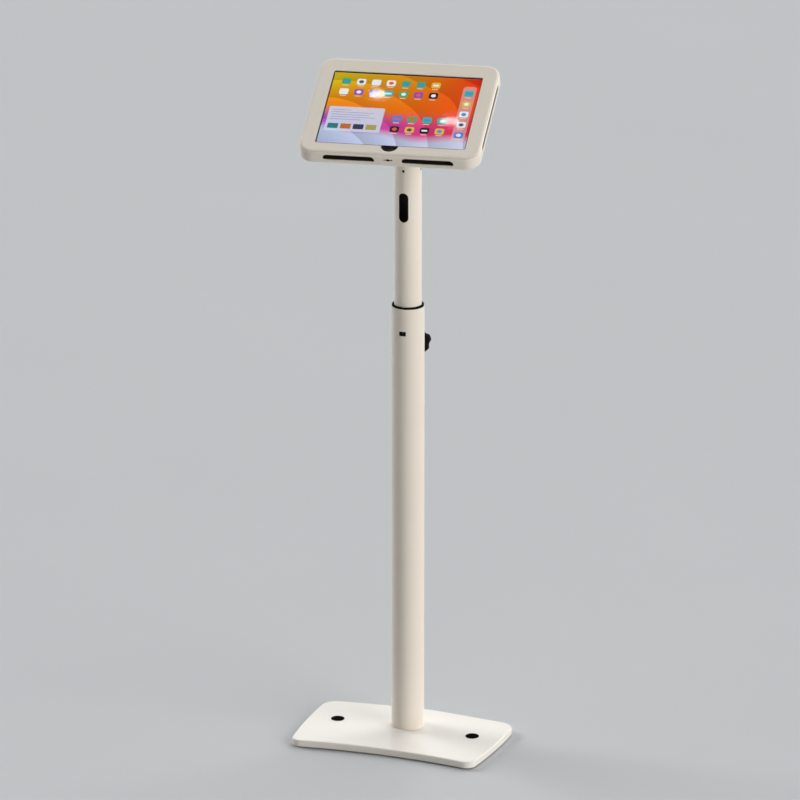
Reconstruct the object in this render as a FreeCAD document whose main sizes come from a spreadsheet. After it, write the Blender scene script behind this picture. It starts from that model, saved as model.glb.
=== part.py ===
import FreeCAD, Part
import math
import os
from types import SimpleNamespace

import Sketcher

# Tablet floor stand: a steel base plate, a two-stage column with a clamp knob, and a
# swivelling, tilting enclosure that holds a tablet. Millimetres, +Z up, the front is -Y.
# The origin is on the floor, on the column's axis.

SIZES = {
    # base plate, measured from the column's axis
    "plate_thickness": 12.0,
    "plate_front_half_width": 175.0,
    "plate_back_half_width": 184.0,
    "plate_front_reach": 147.4,
    "plate_back_reach": 69.2,
    "plate_front_hollow": 15.0,
    "plate_back_rise": 20.3,
    "plate_side_bow": 5.0,
    "plate_front_radius": 18.0,
    "plate_back_radius": 30.0,
    "plate_bend_radius": 300.0,
    "plate_edge_radius": 2.5,
    "mat_thickness": 2.5,
    "mat_inset": 7.0,
    "floor_hole_across": 131.0,
    "floor_hole_forward": 16.0,
    "floor_hole_dia": 12.0,
    "plug_dia": 23.0,
    "plug_seat_depth": 5.0,
    "plug_crown": 0.6,
    "plug_wall": 2.0,
    # lower column
    "lower_tube_dia": 60.0,
    "lower_tube_wall": 2.0,
    "lower_tube_length": 807.0,
    "foot_insert_height": 30.0,
    "column_screw_count": 3,
    "column_screw_circle": 36.0,
    "column_screw_dia": 8.0,
    "column_screw_length": 30.0,
    "tap_reserve": 2.0,
    "lug_width": 13.0,
    "lug_height": 8.5,
    "lug_drop": 46.0,
    "lug_recess": 1.2,
    "bush_collar_dia": 58.2,
    "bush_collar_height": 3.3,
    "bush_length": 62.0,
    "bush_slit": 2.0,
    "rear_slot_height": 70.0,
    # clamp
    "clamp_drop": 86.0,
    "boss_dia": 20.0,
    "boss_length": 9.0,
    "stud_dia": 8.0,
    "stud_bite": 12.0,
    "pad_length": 3.6,
    "pad_dia": 7.4,
    "knob_dia": 44.0,
    "knob_depth": 17.0,
    "knob_hub_dia": 19.0,
    "knob_hub_length": 9.0,
    "knob_scallop_dia": 30.0,
    "knob_scallop_circle": 67.0,
    "knob_lobes": 5,
    "knob_first_lobe": 22.0,
    "knob_lobe_round": 3.0,
    "knob_face_bevel": 1.8,
    "knob_gap": 3.0,
    # upper column
    "upper_tube_dia": 50.0,
    "upper_tube_wall": 2.0,
    "upper_tube_shown": 300.0,
    "upper_tube_held": 350.0,
    "cable_slot_width": 18.5,
    "cable_slot_length": 55.0,
    "cable_slot_rise": 162.0,
    "slide_bush_length": 40.0,
    "slide_bush_lip": 3.0,
    # neck
    "insert_collar": 3.0,
    "insert_depth": 58.0,
    "insert_web": 12.0,
    "insert_cup_dia": 27.0,
    "neck_screw_drop": 42.0,
    "neck_screw_dia": 5.0,
    "neck_screw_length": 8.0,
    "neck_screw_recess": 0.6,
    "swivel_bolt_dia": 12.0,
    "swivel_head_height": 7.5,
    "swivel_head_flats": 18.0,
    "swivel_nut_height": 6.5,
    "swivel_washer": 2.0,
    "lock_washer": 1.5,
    "bolt_tail": 1.5,
    # yoke and tilt hinge
    "yoke_gap": 44.0,
    "yoke_cheek": 5.0,
    "yoke_base": 5.0,
    "yoke_front": 26.0,
    "yoke_back": 20.0,
    "yoke_eye_radius": 12.0,
    "pivot_rise": 32.7,
    "pivot_forward": 47.5,
    "tilt_bolt_dia": 10.0,
    "tilt_bolt_flats": 16.0,
    "tilt_head_height": 6.4,
    "tilt_nut_height": 9.0,
    "tilt_washer_dia": 21.0,
    "tilt_washer": 1.0,
    "bracket_ear": 4.0,
    "bracket_eye_radius": 11.0,
    "bracket_ear_base": 50.0,
    "bracket_plate": 3.0,
    "bracket_side": 116.0,
    "bracket_corner_radius": 9.0,
    "bracket_pitch": 100.0,
    "bracket_screw_dia": 5.0,
    "clinch_nut_dia": 9.0,
    "clinch_nut_height": 3.5,
    "spacer_dia": 15.0,
    # enclosure, measured from the tilt pivot
    "panel_offset": 40.0,
    "tablet_drop": 14.5,
    "head_margin_across": 22.0,
    "head_margin_top": 30.5,
    "head_margin_bottom": 19.5,
    "head_depth": 24.0,
    "head_wall": 2.0,
    "head_corner_radius": 27.0,
    "head_edge_radius": 6.0,
    "window_reveal_across": 2.0,
    "window_reveal_up": 1.75,
    "window_corner": 3.0,
    "notch_radius": 15.4,
    "side_slot_length": 178.0,
    "front_slot_length": 93.0,
    "front_slot_pitch": 142.0,
    "front_slot_round": 8.0,
    "front_slot_back_round": 2.5,
    "slot_width": 11.0,
    "lock_slot_length": 17.0,
    "lock_slot_width": 3.0,
    "lock_screw_head": 5.4,
    "lock_screw_dia": 4.0,
    "lock_screw_length": 8.0,
    "lock_tab_width": 7.0,
    "post_dia": 9.0,
    "post_inset": 12.0,
    "panel_thickness": 1.5,
    "panel_cable_hole": 30.0,
    "panel_cable_drop": 88.0,
    "frame_screw_dia": 4.0,
    "frame_screw_length": 10.0,
    # tablet and what holds it
    "tablet_width": 281.0,
    "tablet_height": 215.0,
    "tablet_depth": 6.4,
    "tablet_corner": 14.0,
    "glass_thickness": 0.8,
    "glass_border": 0.8,
    "display_border_across": 7.5,
    "display_border_up": 7.75,
    "display_thickness": 1.2,
    "seal_thickness": 0.8,
    "seal_lap": 2.0,
    "seal_corner_radius": 10.0,
    "pad_lap_across": 15.0,
    "pad_lap_up": 11.0,
    # pose of the head: angles from straight ahead and from lying flat
    "swivel_rest": 9.7,
    "tilt_rest": 23.0,
    # bevels on turned pieces
    "edge_break": 0.8,
    "fine_edge_break": 0.5,
    # clearances
    "weld_gap": 0.05,
    "seat_gap": 0.1,
    "slide_gap": 0.1,
    "running_gap": 0.05,
    "panel_gap": 0.3,
}

# Places closer than this are the same place, and a through cut runs this far past the stock
NEAR = 1e-3
CUT_MARGIN = 1.0

# A button head's radius and height as shares of the screw's diameter, then its crown's
# radius and its rim's height as shares of those
BUTTON_RADIUS = 0.95
BUTTON_HEIGHT = 0.55
BUTTON_CROWN = 0.6
BUTTON_RIM = 0.4

doc = FreeCAD.newDocument("tablet_floor_stand")
sheet = doc.addObject("Spreadsheet::Sheet", "Sizes")
for row, (alias, amount) in enumerate(SIZES.items(), start=1):
    sheet.set(f"A{row}", alias)
    sheet.set(f"B{row}", str(amount))
    sheet.setAlias(f"B{row}", alias)
doc.recompute()


class Dim:
    """A length or angle together with the sheet expression that gives it."""

    def __init__(self, value, text):
        self.value = float(value)
        self.text = text

    def __add__(self, other):
        return Dim(self.value + number(other), f"({self.text} + {text_of(other)})")

    def __radd__(self, other):
        return self + other

    def __sub__(self, other):
        return Dim(self.value - number(other), f"({self.text} - {text_of(other)})")

    def __mul__(self, other):
        return Dim(self.value * number(other), f"({self.text} * {text_of(other)})")

    def __truediv__(self, other):
        return Dim(self.value / number(other), f"({self.text} / {text_of(other)})")

    def __neg__(self):
        return Dim(-self.value, f"(0 - {self.text})")


def number(item):
    return item.value if isinstance(item, Dim) else float(item)


def text_of(item):
    return item.text if isinstance(item, Dim) else f"({item})"


def bind(target, path, dim):
    target.setExpression(path, text_of(dim))


size = SimpleNamespace(**{name: Dim(sheet.get(name), f"Sizes.{name}") for name in SIZES})

# Heights on the column, from the floor up
plate_top = size.mat_thickness + size.plate_thickness
ring_top = plate_top + size.lower_tube_length
tube_top = ring_top + size.upper_tube_shown
tube_foot = ring_top - size.upper_tube_held
neck_top = tube_top + size.insert_collar
yoke_foot = neck_top + size.swivel_washer
pivot_height = yoke_foot + size.pivot_rise
clamp_height = ring_top - size.clamp_drop

# Radii of the column
lower_outer = size.lower_tube_dia / 2
lower_inner = lower_outer - size.lower_tube_wall
upper_outer = size.upper_tube_dia / 2
upper_inner = upper_outer - size.upper_tube_wall

# The enclosure and its window follow the tablet
display_width = size.tablet_width - size.display_border_across * 2
display_height = size.tablet_height - size.display_border_up * 2
window_width = display_width + size.window_reveal_across * 2
window_height = display_height + size.window_reveal_up * 2
head_width = size.tablet_width + size.head_margin_across * 2
head_height = size.tablet_height + size.head_margin_top + size.head_margin_bottom
tablet_middle = -size.tablet_drop
head_middle = tablet_middle + (size.head_margin_top - size.head_margin_bottom) / 2

# Levels in the enclosure, from the tilt pivot towards the screen
frame_front = size.panel_offset + size.head_depth
frame_inside = frame_front - size.head_wall
panel_front = size.panel_offset + size.panel_thickness
glass_front = frame_inside - size.seal_thickness
tablet_back = glass_front - size.tablet_depth
slot_level = size.panel_offset + size.head_depth / 2
cavity_half_width = head_width / 2 - size.head_wall
cavity_half_height = head_height / 2 - size.head_wall
post_across = cavity_half_width - size.post_inset
post_up = cavity_half_height - size.post_inset


# Sketches

def body_named(label):
    body = doc.addObject("PartDesign::Body", label)
    body.Label = label
    return body


def sketch_on(body, name, plane="XY_Plane", offset=None):
    sketch = body.newObject("Sketcher::SketchObject", name)
    support = [item for item in body.Origin.OriginFeatures if item.Role == plane][0]
    sketch.AttachmentSupport = [(support, "")]
    sketch.MapMode = "FlatFace"
    if offset is not None:
        bind(sketch, "AttachmentOffset.Base.z", offset)
    return sketch


def point(x, y):
    return FreeCAD.Vector(number(x), number(y), 0)


def hold_value(sketch, constraint, dim):
    index = sketch.addConstraint(constraint)
    if isinstance(dim, Dim):
        bind(sketch, f"Constraints[{index}]", dim)


def hold_reach(sketch, geometry, end, kind, distance):
    """Ties a sketch point to its distance from one of the sketch's two axes."""
    axis = -2 if kind == "DistanceX" else -1
    if abs(number(distance)) < NEAR:
        sketch.addConstraint(Sketcher.Constraint("PointOnObject", geometry, end, axis))
    else:
        rule = Sketcher.Constraint(kind, -1, 1, geometry, end, number(distance))
        hold_value(sketch, rule, distance)


def hold_point(sketch, geometry, end, x, y):
    hold_reach(sketch, geometry, end, "DistanceX", x)
    hold_reach(sketch, geometry, end, "DistanceY", y)


def add_circle(sketch, radius, x=0, y=0):
    circle = Part.Circle(point(x, y), FreeCAD.Vector(0, 0, 1), number(radius))
    index = sketch.addGeometry(circle)
    hold_value(sketch, Sketcher.Constraint("Radius", index, number(radius)), radius)
    hold_point(sketch, index, 3, x, y)


def add_polygon(sketch, corners):
    """Closed outline of straight edges through (x, y) corners."""
    places = [point(x, y) for x, y in corners]
    ends = places[1:] + places[:1]
    lines = [sketch.addGeometry(Part.LineSegment(a, b)) for a, b in zip(places, ends)]
    for line, following in zip(lines, lines[1:] + lines[:1]):
        sketch.addConstraint(Sketcher.Constraint("Coincident", line, 2, following, 1))
    for line, (x, y) in zip(lines, corners):
        hold_point(sketch, line, 1, x, y)


def add_rectangle(sketch, half_width, low, high):
    add_polygon(sketch, [(-half_width, low), (half_width, low), (half_width, high), (-half_width, high)])


def add_hexagon(sketch, flats):
    corner = flats / math.sqrt(3)
    turns = [math.radians(60 * step) for step in range(6)]
    add_polygon(sketch, [(corner * math.cos(turn), corner * math.sin(turn)) for turn in turns])


def add_rounded_rectangle(sketch, half_width, low, high, radius):
    """Rectangle about the sketch's upright axis with four equal round corners."""
    r = number(radius)
    sides = [(-half_width, low), (half_width, low), (half_width, high), (-half_width, high)]
    steps = [point(1, 0), point(0, 1), point(-1, 0), point(0, -1)]
    lines = []
    for (start, end, step) in zip(sides, sides[1:] + sides[:1], steps):
        line = Part.LineSegment(point(*start) + step * r, point(*end) - step * r)
        lines.append(sketch.addGeometry(line))
    arcs = []
    corners = zip(sides[1:] + sides[:1], lines[1:] + lines[:1], steps, steps[1:] + steps[:1])
    for here, ahead, step, turn in corners:
        corner = point(*here)
        middle = corner - (step - turn) * (r * (1 - math.sqrt(0.5)))
        arcs.append((add_arc(sketch, corner - step * r, middle, corner + turn * r), ahead))
    for line, ((arc, first, last), ahead) in zip(lines, arcs):
        sketch.addConstraint(Sketcher.Constraint("Tangent", line, 2, arc, first))
        sketch.addConstraint(Sketcher.Constraint("Tangent", arc, last, ahead, 1))
    for line, rule in zip(lines, ("Horizontal", "Vertical", "Horizontal", "Vertical")):
        sketch.addConstraint(Sketcher.Constraint(rule, line))
    for (arc, _, _), _ in arcs[1:]:
        sketch.addConstraint(Sketcher.Constraint("Equal", arcs[0][0][0], arc))
    hold_value(sketch, Sketcher.Constraint("Radius", arcs[0][0][0], r), radius)
    hold_reach(sketch, lines[0], 1, "DistanceY", low)
    hold_reach(sketch, lines[1], 1, "DistanceX", half_width)
    hold_reach(sketch, lines[2], 1, "DistanceY", high)
    hold_reach(sketch, lines[3], 1, "DistanceX", -half_width)


def add_arc(sketch, start, middle, end):
    """Adds an arc and returns its index and the sketch's numbers for its two ends."""
    index = sketch.addGeometry(Part.Arc(start, middle, end))
    forwards = sketch.getPoint(index, 1).distanceToPoint(start) < NEAR
    return (index, 1, 2) if forwards else (index, 2, 1)


def add_stadium(sketch, length, width, x=0, y=0, upright=False):
    """Slot with round ends, its length across the sketch or up it."""
    radius = width / 2
    reach = length / 2 - radius
    along = (0, reach) if upright else (reach, 0)
    side = (radius, 0) if upright else (0, radius)
    centres = [(along[0] * sign + x, along[1] * sign + y) for sign in (-1, 1)]
    arcs = []
    for sign, (cx, cy) in zip((-1, 1), centres):
        centre = point(cx, cy)
        across = point(*side)
        outward = point(*along).normalize() * number(radius) * sign
        arcs.append(add_arc(sketch, centre - across, centre + outward, centre + across))
    for flank in (1, 2):
        start = sketch.getPoint(arcs[0][0], arcs[0][flank])
        end = sketch.getPoint(arcs[1][0], arcs[1][flank])
        line = sketch.addGeometry(Part.LineSegment(start, end))
        sketch.addConstraint(Sketcher.Constraint("Tangent", arcs[0][0], arcs[0][flank], line, 1))
        sketch.addConstraint(Sketcher.Constraint("Tangent", arcs[1][0], arcs[1][flank], line, 2))
    sketch.addConstraint(Sketcher.Constraint("Equal", arcs[0][0], arcs[1][0]))
    hold_value(sketch, Sketcher.Constraint("Radius", arcs[0][0], number(radius)), radius)
    for (index, _, _), (cx, cy) in zip(arcs, centres):
        hold_point(sketch, index, 3, cx, cy)


def add_cheek(sketch, rear, front, foot, eye_x, eye_y, radius):
    """Outline of a hinge cheek: a straight foot that narrows to a round eye."""
    eye = point(eye_x, eye_y)
    touches = []
    for x, side in ((rear, 1), (front, -1)):
        start = point(x, foot)
        way = eye - start
        swing = side * math.asin(number(radius) / way.Length)
        swing = -swing if number(eye_y) > number(foot) else swing
        turned = FreeCAD.Rotation(FreeCAD.Vector(0, 0, 1), math.degrees(swing)).multVec(way)
        touches.append(start + turned.normalize() * math.sqrt(way.Length ** 2 - number(radius) ** 2))
    crown = eye + point(0, number(radius) * (1 if number(eye_y) > number(foot) else -1))
    base = sketch.addGeometry(Part.LineSegment(point(front, foot), point(rear, foot)))
    rise = sketch.addGeometry(Part.LineSegment(point(rear, foot), touches[0]))
    arc, arc_start, arc_end = add_arc(sketch, touches[0], crown, touches[1])
    fall = sketch.addGeometry(Part.LineSegment(touches[1], point(front, foot)))
    sketch.addConstraint(Sketcher.Constraint("Coincident", base, 2, rise, 1))
    sketch.addConstraint(Sketcher.Constraint("Tangent", rise, 2, arc, arc_start))
    sketch.addConstraint(Sketcher.Constraint("Tangent", arc, arc_end, fall, 1))
    sketch.addConstraint(Sketcher.Constraint("Coincident", fall, 2, base, 1))
    hold_point(sketch, base, 1, front, foot)
    hold_point(sketch, base, 2, rear, foot)
    hold_point(sketch, arc, 3, eye_x, eye_y)
    hold_value(sketch, Sketcher.Constraint("Radius", arc, number(radius)), radius)


# Features

def add_pad(body, sketch, length, both_ways=False, backwards=False):
    pad = body.newObject("PartDesign::Pad", f"{sketch.Name}_pad")
    pad.Profile = sketch
    bind(pad, "Length", length)
    pad.Midplane = both_ways
    pad.Reversed = backwards
    doc.recompute()
    return pad


def add_cut(body, sketch, length, both_ways=False, backwards=False):
    """Pocket that has to take material away."""
    before = body.Shape.Volume
    pocket = body.newObject("PartDesign::Pocket", f"{sketch.Name}_cut")
    pocket.Profile = sketch
    bind(pocket, "Length", length)
    pocket.Midplane = both_ways
    pocket.Reversed = backwards
    doc.recompute()
    if body.Shape.Volume > before - NEAR:
        raise RuntimeError(f"{body.Label}: {sketch.Name} cuts nothing")
    return pocket


def edges_where(shape, test):
    return [f"Edge{index}" for index, edge in enumerate(shape.Edges, start=1) if test(edge)]


def add_fillet(body, base, radius, test):
    fillet = body.newObject("PartDesign::Fillet", f"{base.Name}_round")
    fillet.Base = (base, edges_where(base.Shape, test))
    bind(fillet, "Radius", radius)
    doc.recompute()
    return fillet


def add_bevel(body, base, width, test):
    bevel = body.newObject("PartDesign::Chamfer", f"{base.Name}_bevel")
    bevel.Base = (base, edges_where(base.Shape, test))
    bind(bevel, "Size", width)
    doc.recompute()
    return bevel


def upright_edge(edge):
    if len(edge.Vertexes) < 2:
        return False
    first, second = (vertex.Point for vertex in edge.Vertexes)
    return math.hypot(first.x - second.x, first.y - second.y) < NEAR


def edge_at_level(level):
    return lambda edge: abs(edge.BoundBox.ZMin - number(level)) < NEAR and edge.BoundBox.ZLength < NEAR


def revolved_body(label, corners):
    """Body turned about +Z from (radius, height) corners."""
    body = body_named(label)
    profile = sketch_on(body, f"{label}_profile", "XZ_Plane")
    add_polygon(profile, corners)
    turn = body.newObject("PartDesign::Revolution", f"{label}_turn")
    turn.Profile = profile
    turn.ReferenceAxis = (profile, ["V_Axis"])
    turn.Angle = 360
    doc.recompute()
    return body


def ring_body(label, outer, inner, low, height):
    body = body_named(label)
    ring = sketch_on(body, f"{label}_ring", "XY_Plane", low)
    add_circle(ring, outer)
    add_circle(ring, inner)
    add_pad(body, ring, height)
    return body


def solid_group(label, shapes):
    """Identical fasteners as separate solids under one label."""
    group = doc.addObject("Part::Feature", label)
    group.Label = label
    group.Shape = Part.makeCompound(shapes)
    return group


def turned_screw(corners):
    """Screw turned about +Z from (radius, height) corners, as a plain shape."""
    wire = Part.makePolygon([FreeCAD.Vector(number(r), 0, number(z)) for r, z in corners + corners[:1]])
    return Part.Face(wire).revolve(FreeCAD.Vector(0, 0, 0), FreeCAD.Vector(0, 0, 1), 360)


def moved(shape, x, y, z, turn=None):
    copy = shape.copy()
    place = FreeCAD.Vector(number(x), number(y), number(z))
    copy.Placement = FreeCAD.Placement(place, turn or FreeCAD.Rotation())
    return copy


# Frames that the moving pieces are modelled in

def turned(axis, degrees):
    return FreeCAD.Rotation(FreeCAD.Vector(*axis), number(degrees))


def on_yoke(item):
    """Yoke frame: swivelled about the column, its origin under the yoke."""
    base = FreeCAD.Vector(0, 0, number(yoke_foot))
    item.Placement = FreeCAD.Placement(base, turned((0, 0, 1), size.swivel_rest))
    return item


def on_hinge(item):
    """Hinge frame: on the tilt axis, +Z along it."""
    swivel = turned((0, 0, 1), size.swivel_rest)
    pivot = swivel.multVec(FreeCAD.Vector(0, -number(size.pivot_forward), 0))
    pivot.z = number(pivot_height)
    item.Placement = FreeCAD.Placement(pivot, swivel.multiply(turned((0, 1, 0), 90)))
    return item


def on_head(item):
    """Head frame: its origin on the tilt axis, +X along it and +Z out of the screen."""
    swivel = turned((0, 0, 1), size.swivel_rest)
    pivot = swivel.multVec(FreeCAD.Vector(0, -number(size.pivot_forward), 0))
    pivot.z = number(pivot_height)
    item.Placement = FreeCAD.Placement(pivot, swivel.multiply(turned((1, 0, 0), size.tilt_rest)))
    return item


# Base

def add_plate_outline(sketch, inset):
    """Hollow front edge, bowed sides and a back that rises to a soft bend in its middle."""
    front_half = size.plate_front_half_width - inset
    back_half = size.plate_back_half_width - inset
    front = -(size.plate_front_reach - inset)
    back = size.plate_back_reach - inset
    peak = back + size.plate_back_rise
    bow = size.plate_side_bow
    side_x = (front_half + back_half) / 2 + bow
    side_y = (front + back) / 2
    left_front = point(-front_half, front)
    right_front = point(front_half, front)
    left_back = point(-back_half, back)
    right_back = point(back_half, back)
    hollow = add_arc(sketch, left_front, point(0, front + size.plate_front_hollow), right_front)
    right = add_arc(sketch, right_front, point(side_x, side_y), right_back)
    right_flank = sketch.addGeometry(Part.LineSegment(right_back, point(0, peak)))
    left_flank = sketch.addGeometry(Part.LineSegment(point(0, peak), left_back))
    left = add_arc(sketch, left_back, point(-side_x, side_y), left_front)
    joints = [(hollow[0], hollow[2], right[0], right[1]), (right[0], right[2], right_flank, 1),
              (right_flank, 2, left_flank, 1), (left_flank, 2, left[0], left[1]),
              (left[0], left[2], hollow[0], hollow[1])]
    for joint in joints:
        sketch.addConstraint(Sketcher.Constraint("Coincident", *joint))
    hold_point(sketch, hollow[0], hollow[1], -front_half, front)
    hold_point(sketch, hollow[0], hollow[2], front_half, front)
    hold_point(sketch, right_flank, 1, back_half, back)
    hold_point(sketch, left_flank, 2, -back_half, back)
    hold_point(sketch, right_flank, 2, 0, peak)
    front_radius = arc_radius(front_half * front_half * 4, size.plate_front_hollow)
    run = back - front
    lean = back_half - front_half
    side_radius = arc_radius(run * run + lean * lean, bow)
    for arc, radius in ((hollow, front_radius), (right, side_radius), (left, side_radius)):
        hold_value(sketch, Sketcher.Constraint("Radius", arc[0], number(radius)), radius)


def arc_radius(chord_squared, rise):
    return (chord_squared / 4 + rise * rise) / (rise * 2)


def plate_blank(label, inset, low, thickness):
    body = body_named(label)
    outline = sketch_on(body, f"{label}_outline", "XY_Plane", low)
    add_plate_outline(outline, inset)
    blank = add_pad(body, outline, thickness)
    front = add_fillet(body, blank, size.plate_front_radius - inset,
                       lambda edge: upright_edge(edge) and edge.BoundBox.YMax < 0)
    back = add_fillet(body, front, size.plate_back_radius - inset,
                      lambda edge: upright_edge(edge) and edge.BoundBox.YMin > 0
                      and abs(edge.BoundBox.XMin) > number(size.plate_back_half_width) / 2)
    bend = add_fillet(body, back, size.plate_bend_radius,
                      lambda edge: upright_edge(edge) and abs(edge.BoundBox.XMin) < NEAR)
    return body, bend


def cut_floor_holes(body, name, radius, low, depth):
    holes = sketch_on(body, name, "XY_Plane", low)
    for side in (-1, 1):
        add_circle(holes, radius, size.floor_hole_across * side, -size.floor_hole_forward)
    add_cut(body, holes, depth, backwards=True)


def column_screw_places():
    """Places on a circle round the column's axis, the first one behind it."""
    count = round(number(size.column_screw_count))
    angles = [math.radians(90 + 360 / count * step) for step in range(count)]
    ring = size.column_screw_circle / 2
    return [(ring * math.cos(angle), ring * math.sin(angle)) for angle in angles]


def base_plate():
    body, bend = plate_blank("base_plate", Dim(0, "0"), size.mat_thickness, size.plate_thickness)
    add_fillet(body, bend, size.plate_edge_radius, edge_at_level(plate_top))
    cut_floor_holes(body, "floor_holes", size.floor_hole_dia / 2, size.mat_thickness, size.plate_thickness)
    cut_floor_holes(body, "plug_seats", size.plug_dia / 2 + size.seat_gap,
                    plate_top - size.plug_seat_depth, size.plug_seat_depth)
    sink = column_screw(size.seat_gap)
    tool = doc.addObject("Part::Feature", "column_screw_sinks")
    tool.Shape = Part.makeCompound([moved(sink, x, y, 0) for x, y in column_screw_places()])
    drilled = doc.addObject("Part::Cut", "drilled_base_plate")
    drilled.Base = body
    drilled.Tool = tool
    body.Label = "base_plate_blank"
    drilled.Label = "base_plate"
    return drilled


def base_mat():
    body, _ = plate_blank("base_mat", size.mat_inset, Dim(0, "0"), size.mat_thickness)
    cut_floor_holes(body, "mat_holes", size.floor_hole_dia, Dim(0, "0"), size.mat_thickness)
    return body


def floor_plug(label, side):
    outer = size.plug_dia / 2
    inner = outer - size.plug_wall
    floor = plate_top - size.plug_seat_depth
    crown = plate_top + size.plug_crown
    body = revolved_body(label, [
        (inner, floor), (outer, floor), (outer, plate_top), (outer - size.plug_crown, crown),
        (0, crown), (0, plate_top - size.plug_wall), (inner, plate_top - size.plug_wall)])
    bind(body, "Placement.Base.x", size.floor_hole_across * side)
    bind(body, "Placement.Base.y", -size.floor_hole_forward)
    return body


def column_screw(growth):
    """Countersunk screw from under the plate, or its hole when it is grown."""
    low = size.mat_thickness + (size.seat_gap if number(growth) == 0 else Dim(0, "0"))
    shank = size.column_screw_dia / 2 + growth
    head = size.column_screw_dia + growth
    neck = low + (head - shank)
    top = size.mat_thickness + size.column_screw_length + growth
    return turned_screw([(0, low), (head, low), (shank, neck), (shank, top), (0, top)])


def column_screws():
    screw = column_screw(Dim(0, "0"))
    return solid_group("column_screws", [moved(screw, x, y, 0) for x, y in column_screw_places()])


def foot_insert():
    outer = lower_inner - size.weld_gap
    top = plate_top + size.foot_insert_height
    body = revolved_body("foot_insert", [
        (0, plate_top), (outer, plate_top), (outer, top - size.edge_break), (outer - size.edge_break, top),
        (0, top)])
    taps = sketch_on(body, "insert_taps", "XY_Plane", plate_top)
    for x, y in column_screw_places():
        add_circle(taps, size.column_screw_dia / 2 + size.seat_gap, x, y)
    depth = size.column_screw_length - size.plate_thickness + size.tap_reserve
    add_cut(body, taps, depth, backwards=True)
    return body


# Lower column

def lower_tube():
    body = ring_body("lower_tube", lower_outer, lower_inner, plate_top, size.lower_tube_length)
    lug_middle = ring_top - size.lug_drop
    window = sketch_on(body, "lug_window", "XZ_Plane")
    half_height = size.lug_height / 2
    add_rectangle(window, size.lug_width / 2, lug_middle - half_height, lug_middle + half_height)
    add_cut(body, window, size.lower_tube_dia, backwards=True)
    hole = sketch_on(body, "clamp_hole", "XZ_Plane")
    add_circle(hole, size.stud_dia / 2 + size.panel_gap, 0, clamp_height)
    add_cut(body, hole, size.lower_tube_dia)
    slot = sketch_on(body, "rear_cable_slot", "XZ_Plane")
    add_stadium(slot, size.cable_slot_length, size.cable_slot_width, 0,
                plate_top + size.rear_slot_height, upright=True)
    add_cut(body, slot, size.lower_tube_dia)
    return body


def guide_bush():
    bore = upper_outer + size.slide_gap
    sleeve = lower_inner - size.seat_gap
    collar = size.bush_collar_dia / 2
    foot = ring_top - size.bush_length
    top = ring_top + size.bush_collar_height
    body = revolved_body("guide_bush", [
        (bore, foot), (sleeve, foot), (sleeve, ring_top), (collar, ring_top),
        (collar, top - size.edge_break), (collar - size.edge_break, top),
        (bore + size.fine_edge_break, top), (bore, top - size.fine_edge_break)])
    lug_middle = ring_top - size.lug_drop
    half_height = size.lug_height / 2 - size.panel_gap
    half_width = size.lug_width / 2 - size.panel_gap
    lug = sketch_on(body, "bush_lug", "XZ_Plane", (bore + sleeve) / 2)
    add_rectangle(lug, half_width, lug_middle - half_height, lug_middle + half_height)
    add_pad(body, lug, lower_outer - size.lug_recess - (bore + sleeve) / 2)
    slit = sketch_on(body, "bush_slit", "XZ_Plane")
    add_rectangle(slit, size.bush_slit / 2, foot - CUT_MARGIN, top + CUT_MARGIN)
    add_cut(body, slit, size.lower_tube_dia, backwards=True)
    return body


# Clamp, modelled along +Z and turned to point out of the column's back

def on_clamp(item):
    base = FreeCAD.Vector(0, 0, number(clamp_height))
    item.Placement = FreeCAD.Placement(base, turned((1, 0, 0), -90))
    return item


def add_cylinder(name, radius, height, low=0):
    cylinder = doc.addObject("Part::Cylinder", name)
    bind(cylinder, "Radius", radius)
    bind(cylinder, "Height", height)
    if isinstance(low, Dim):
        bind(cylinder, "Placement.Base.z", low)
    return cylinder


def add_difference(name, base, tool):
    difference = doc.addObject("Part::Cut", name)
    difference.Base = base
    difference.Tool = tool
    return difference


def clamp_boss():
    """Threaded boss whose end is hollowed to the round of the tube it is welded to."""
    blank = add_cylinder("boss_blank", size.boss_dia / 2, lower_outer + size.boss_length)
    bore = add_cylinder("boss_bore", size.stud_dia / 2 + size.running_gap, size.lower_tube_dia)
    bored = add_difference("bored_boss", blank, bore)
    saddle = add_cylinder("boss_saddle", lower_outer + size.weld_gap, size.lower_tube_dia)
    saddle.Placement = FreeCAD.Placement(FreeCAD.Vector(0, number(lower_outer), 0), turned((1, 0, 0), 90))
    boss = add_difference("clamp_boss", bored, saddle)
    return on_clamp(boss)


def clamp_pad():
    near = upper_outer + size.slide_gap
    radius = size.pad_dia / 2
    far = near + size.pad_length
    return on_clamp(revolved_body("clamp_pad", [
        (0, near), (radius - size.fine_edge_break, near), (radius, near + size.fine_edge_break),
        (radius, far), (0, far)]))


def clamp_stud():
    near = upper_outer + size.slide_gap + size.pad_length
    far = knob_back() + size.knob_hub_length + size.stud_bite
    radius = size.stud_dia / 2
    return on_clamp(revolved_body("clamp_stud", [
        (0, near), (radius - size.edge_break, near), (radius, near + size.edge_break),
        (radius, far), (0, far)]))


def knob_back():
    return lower_outer + size.boss_length + size.knob_gap


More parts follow.
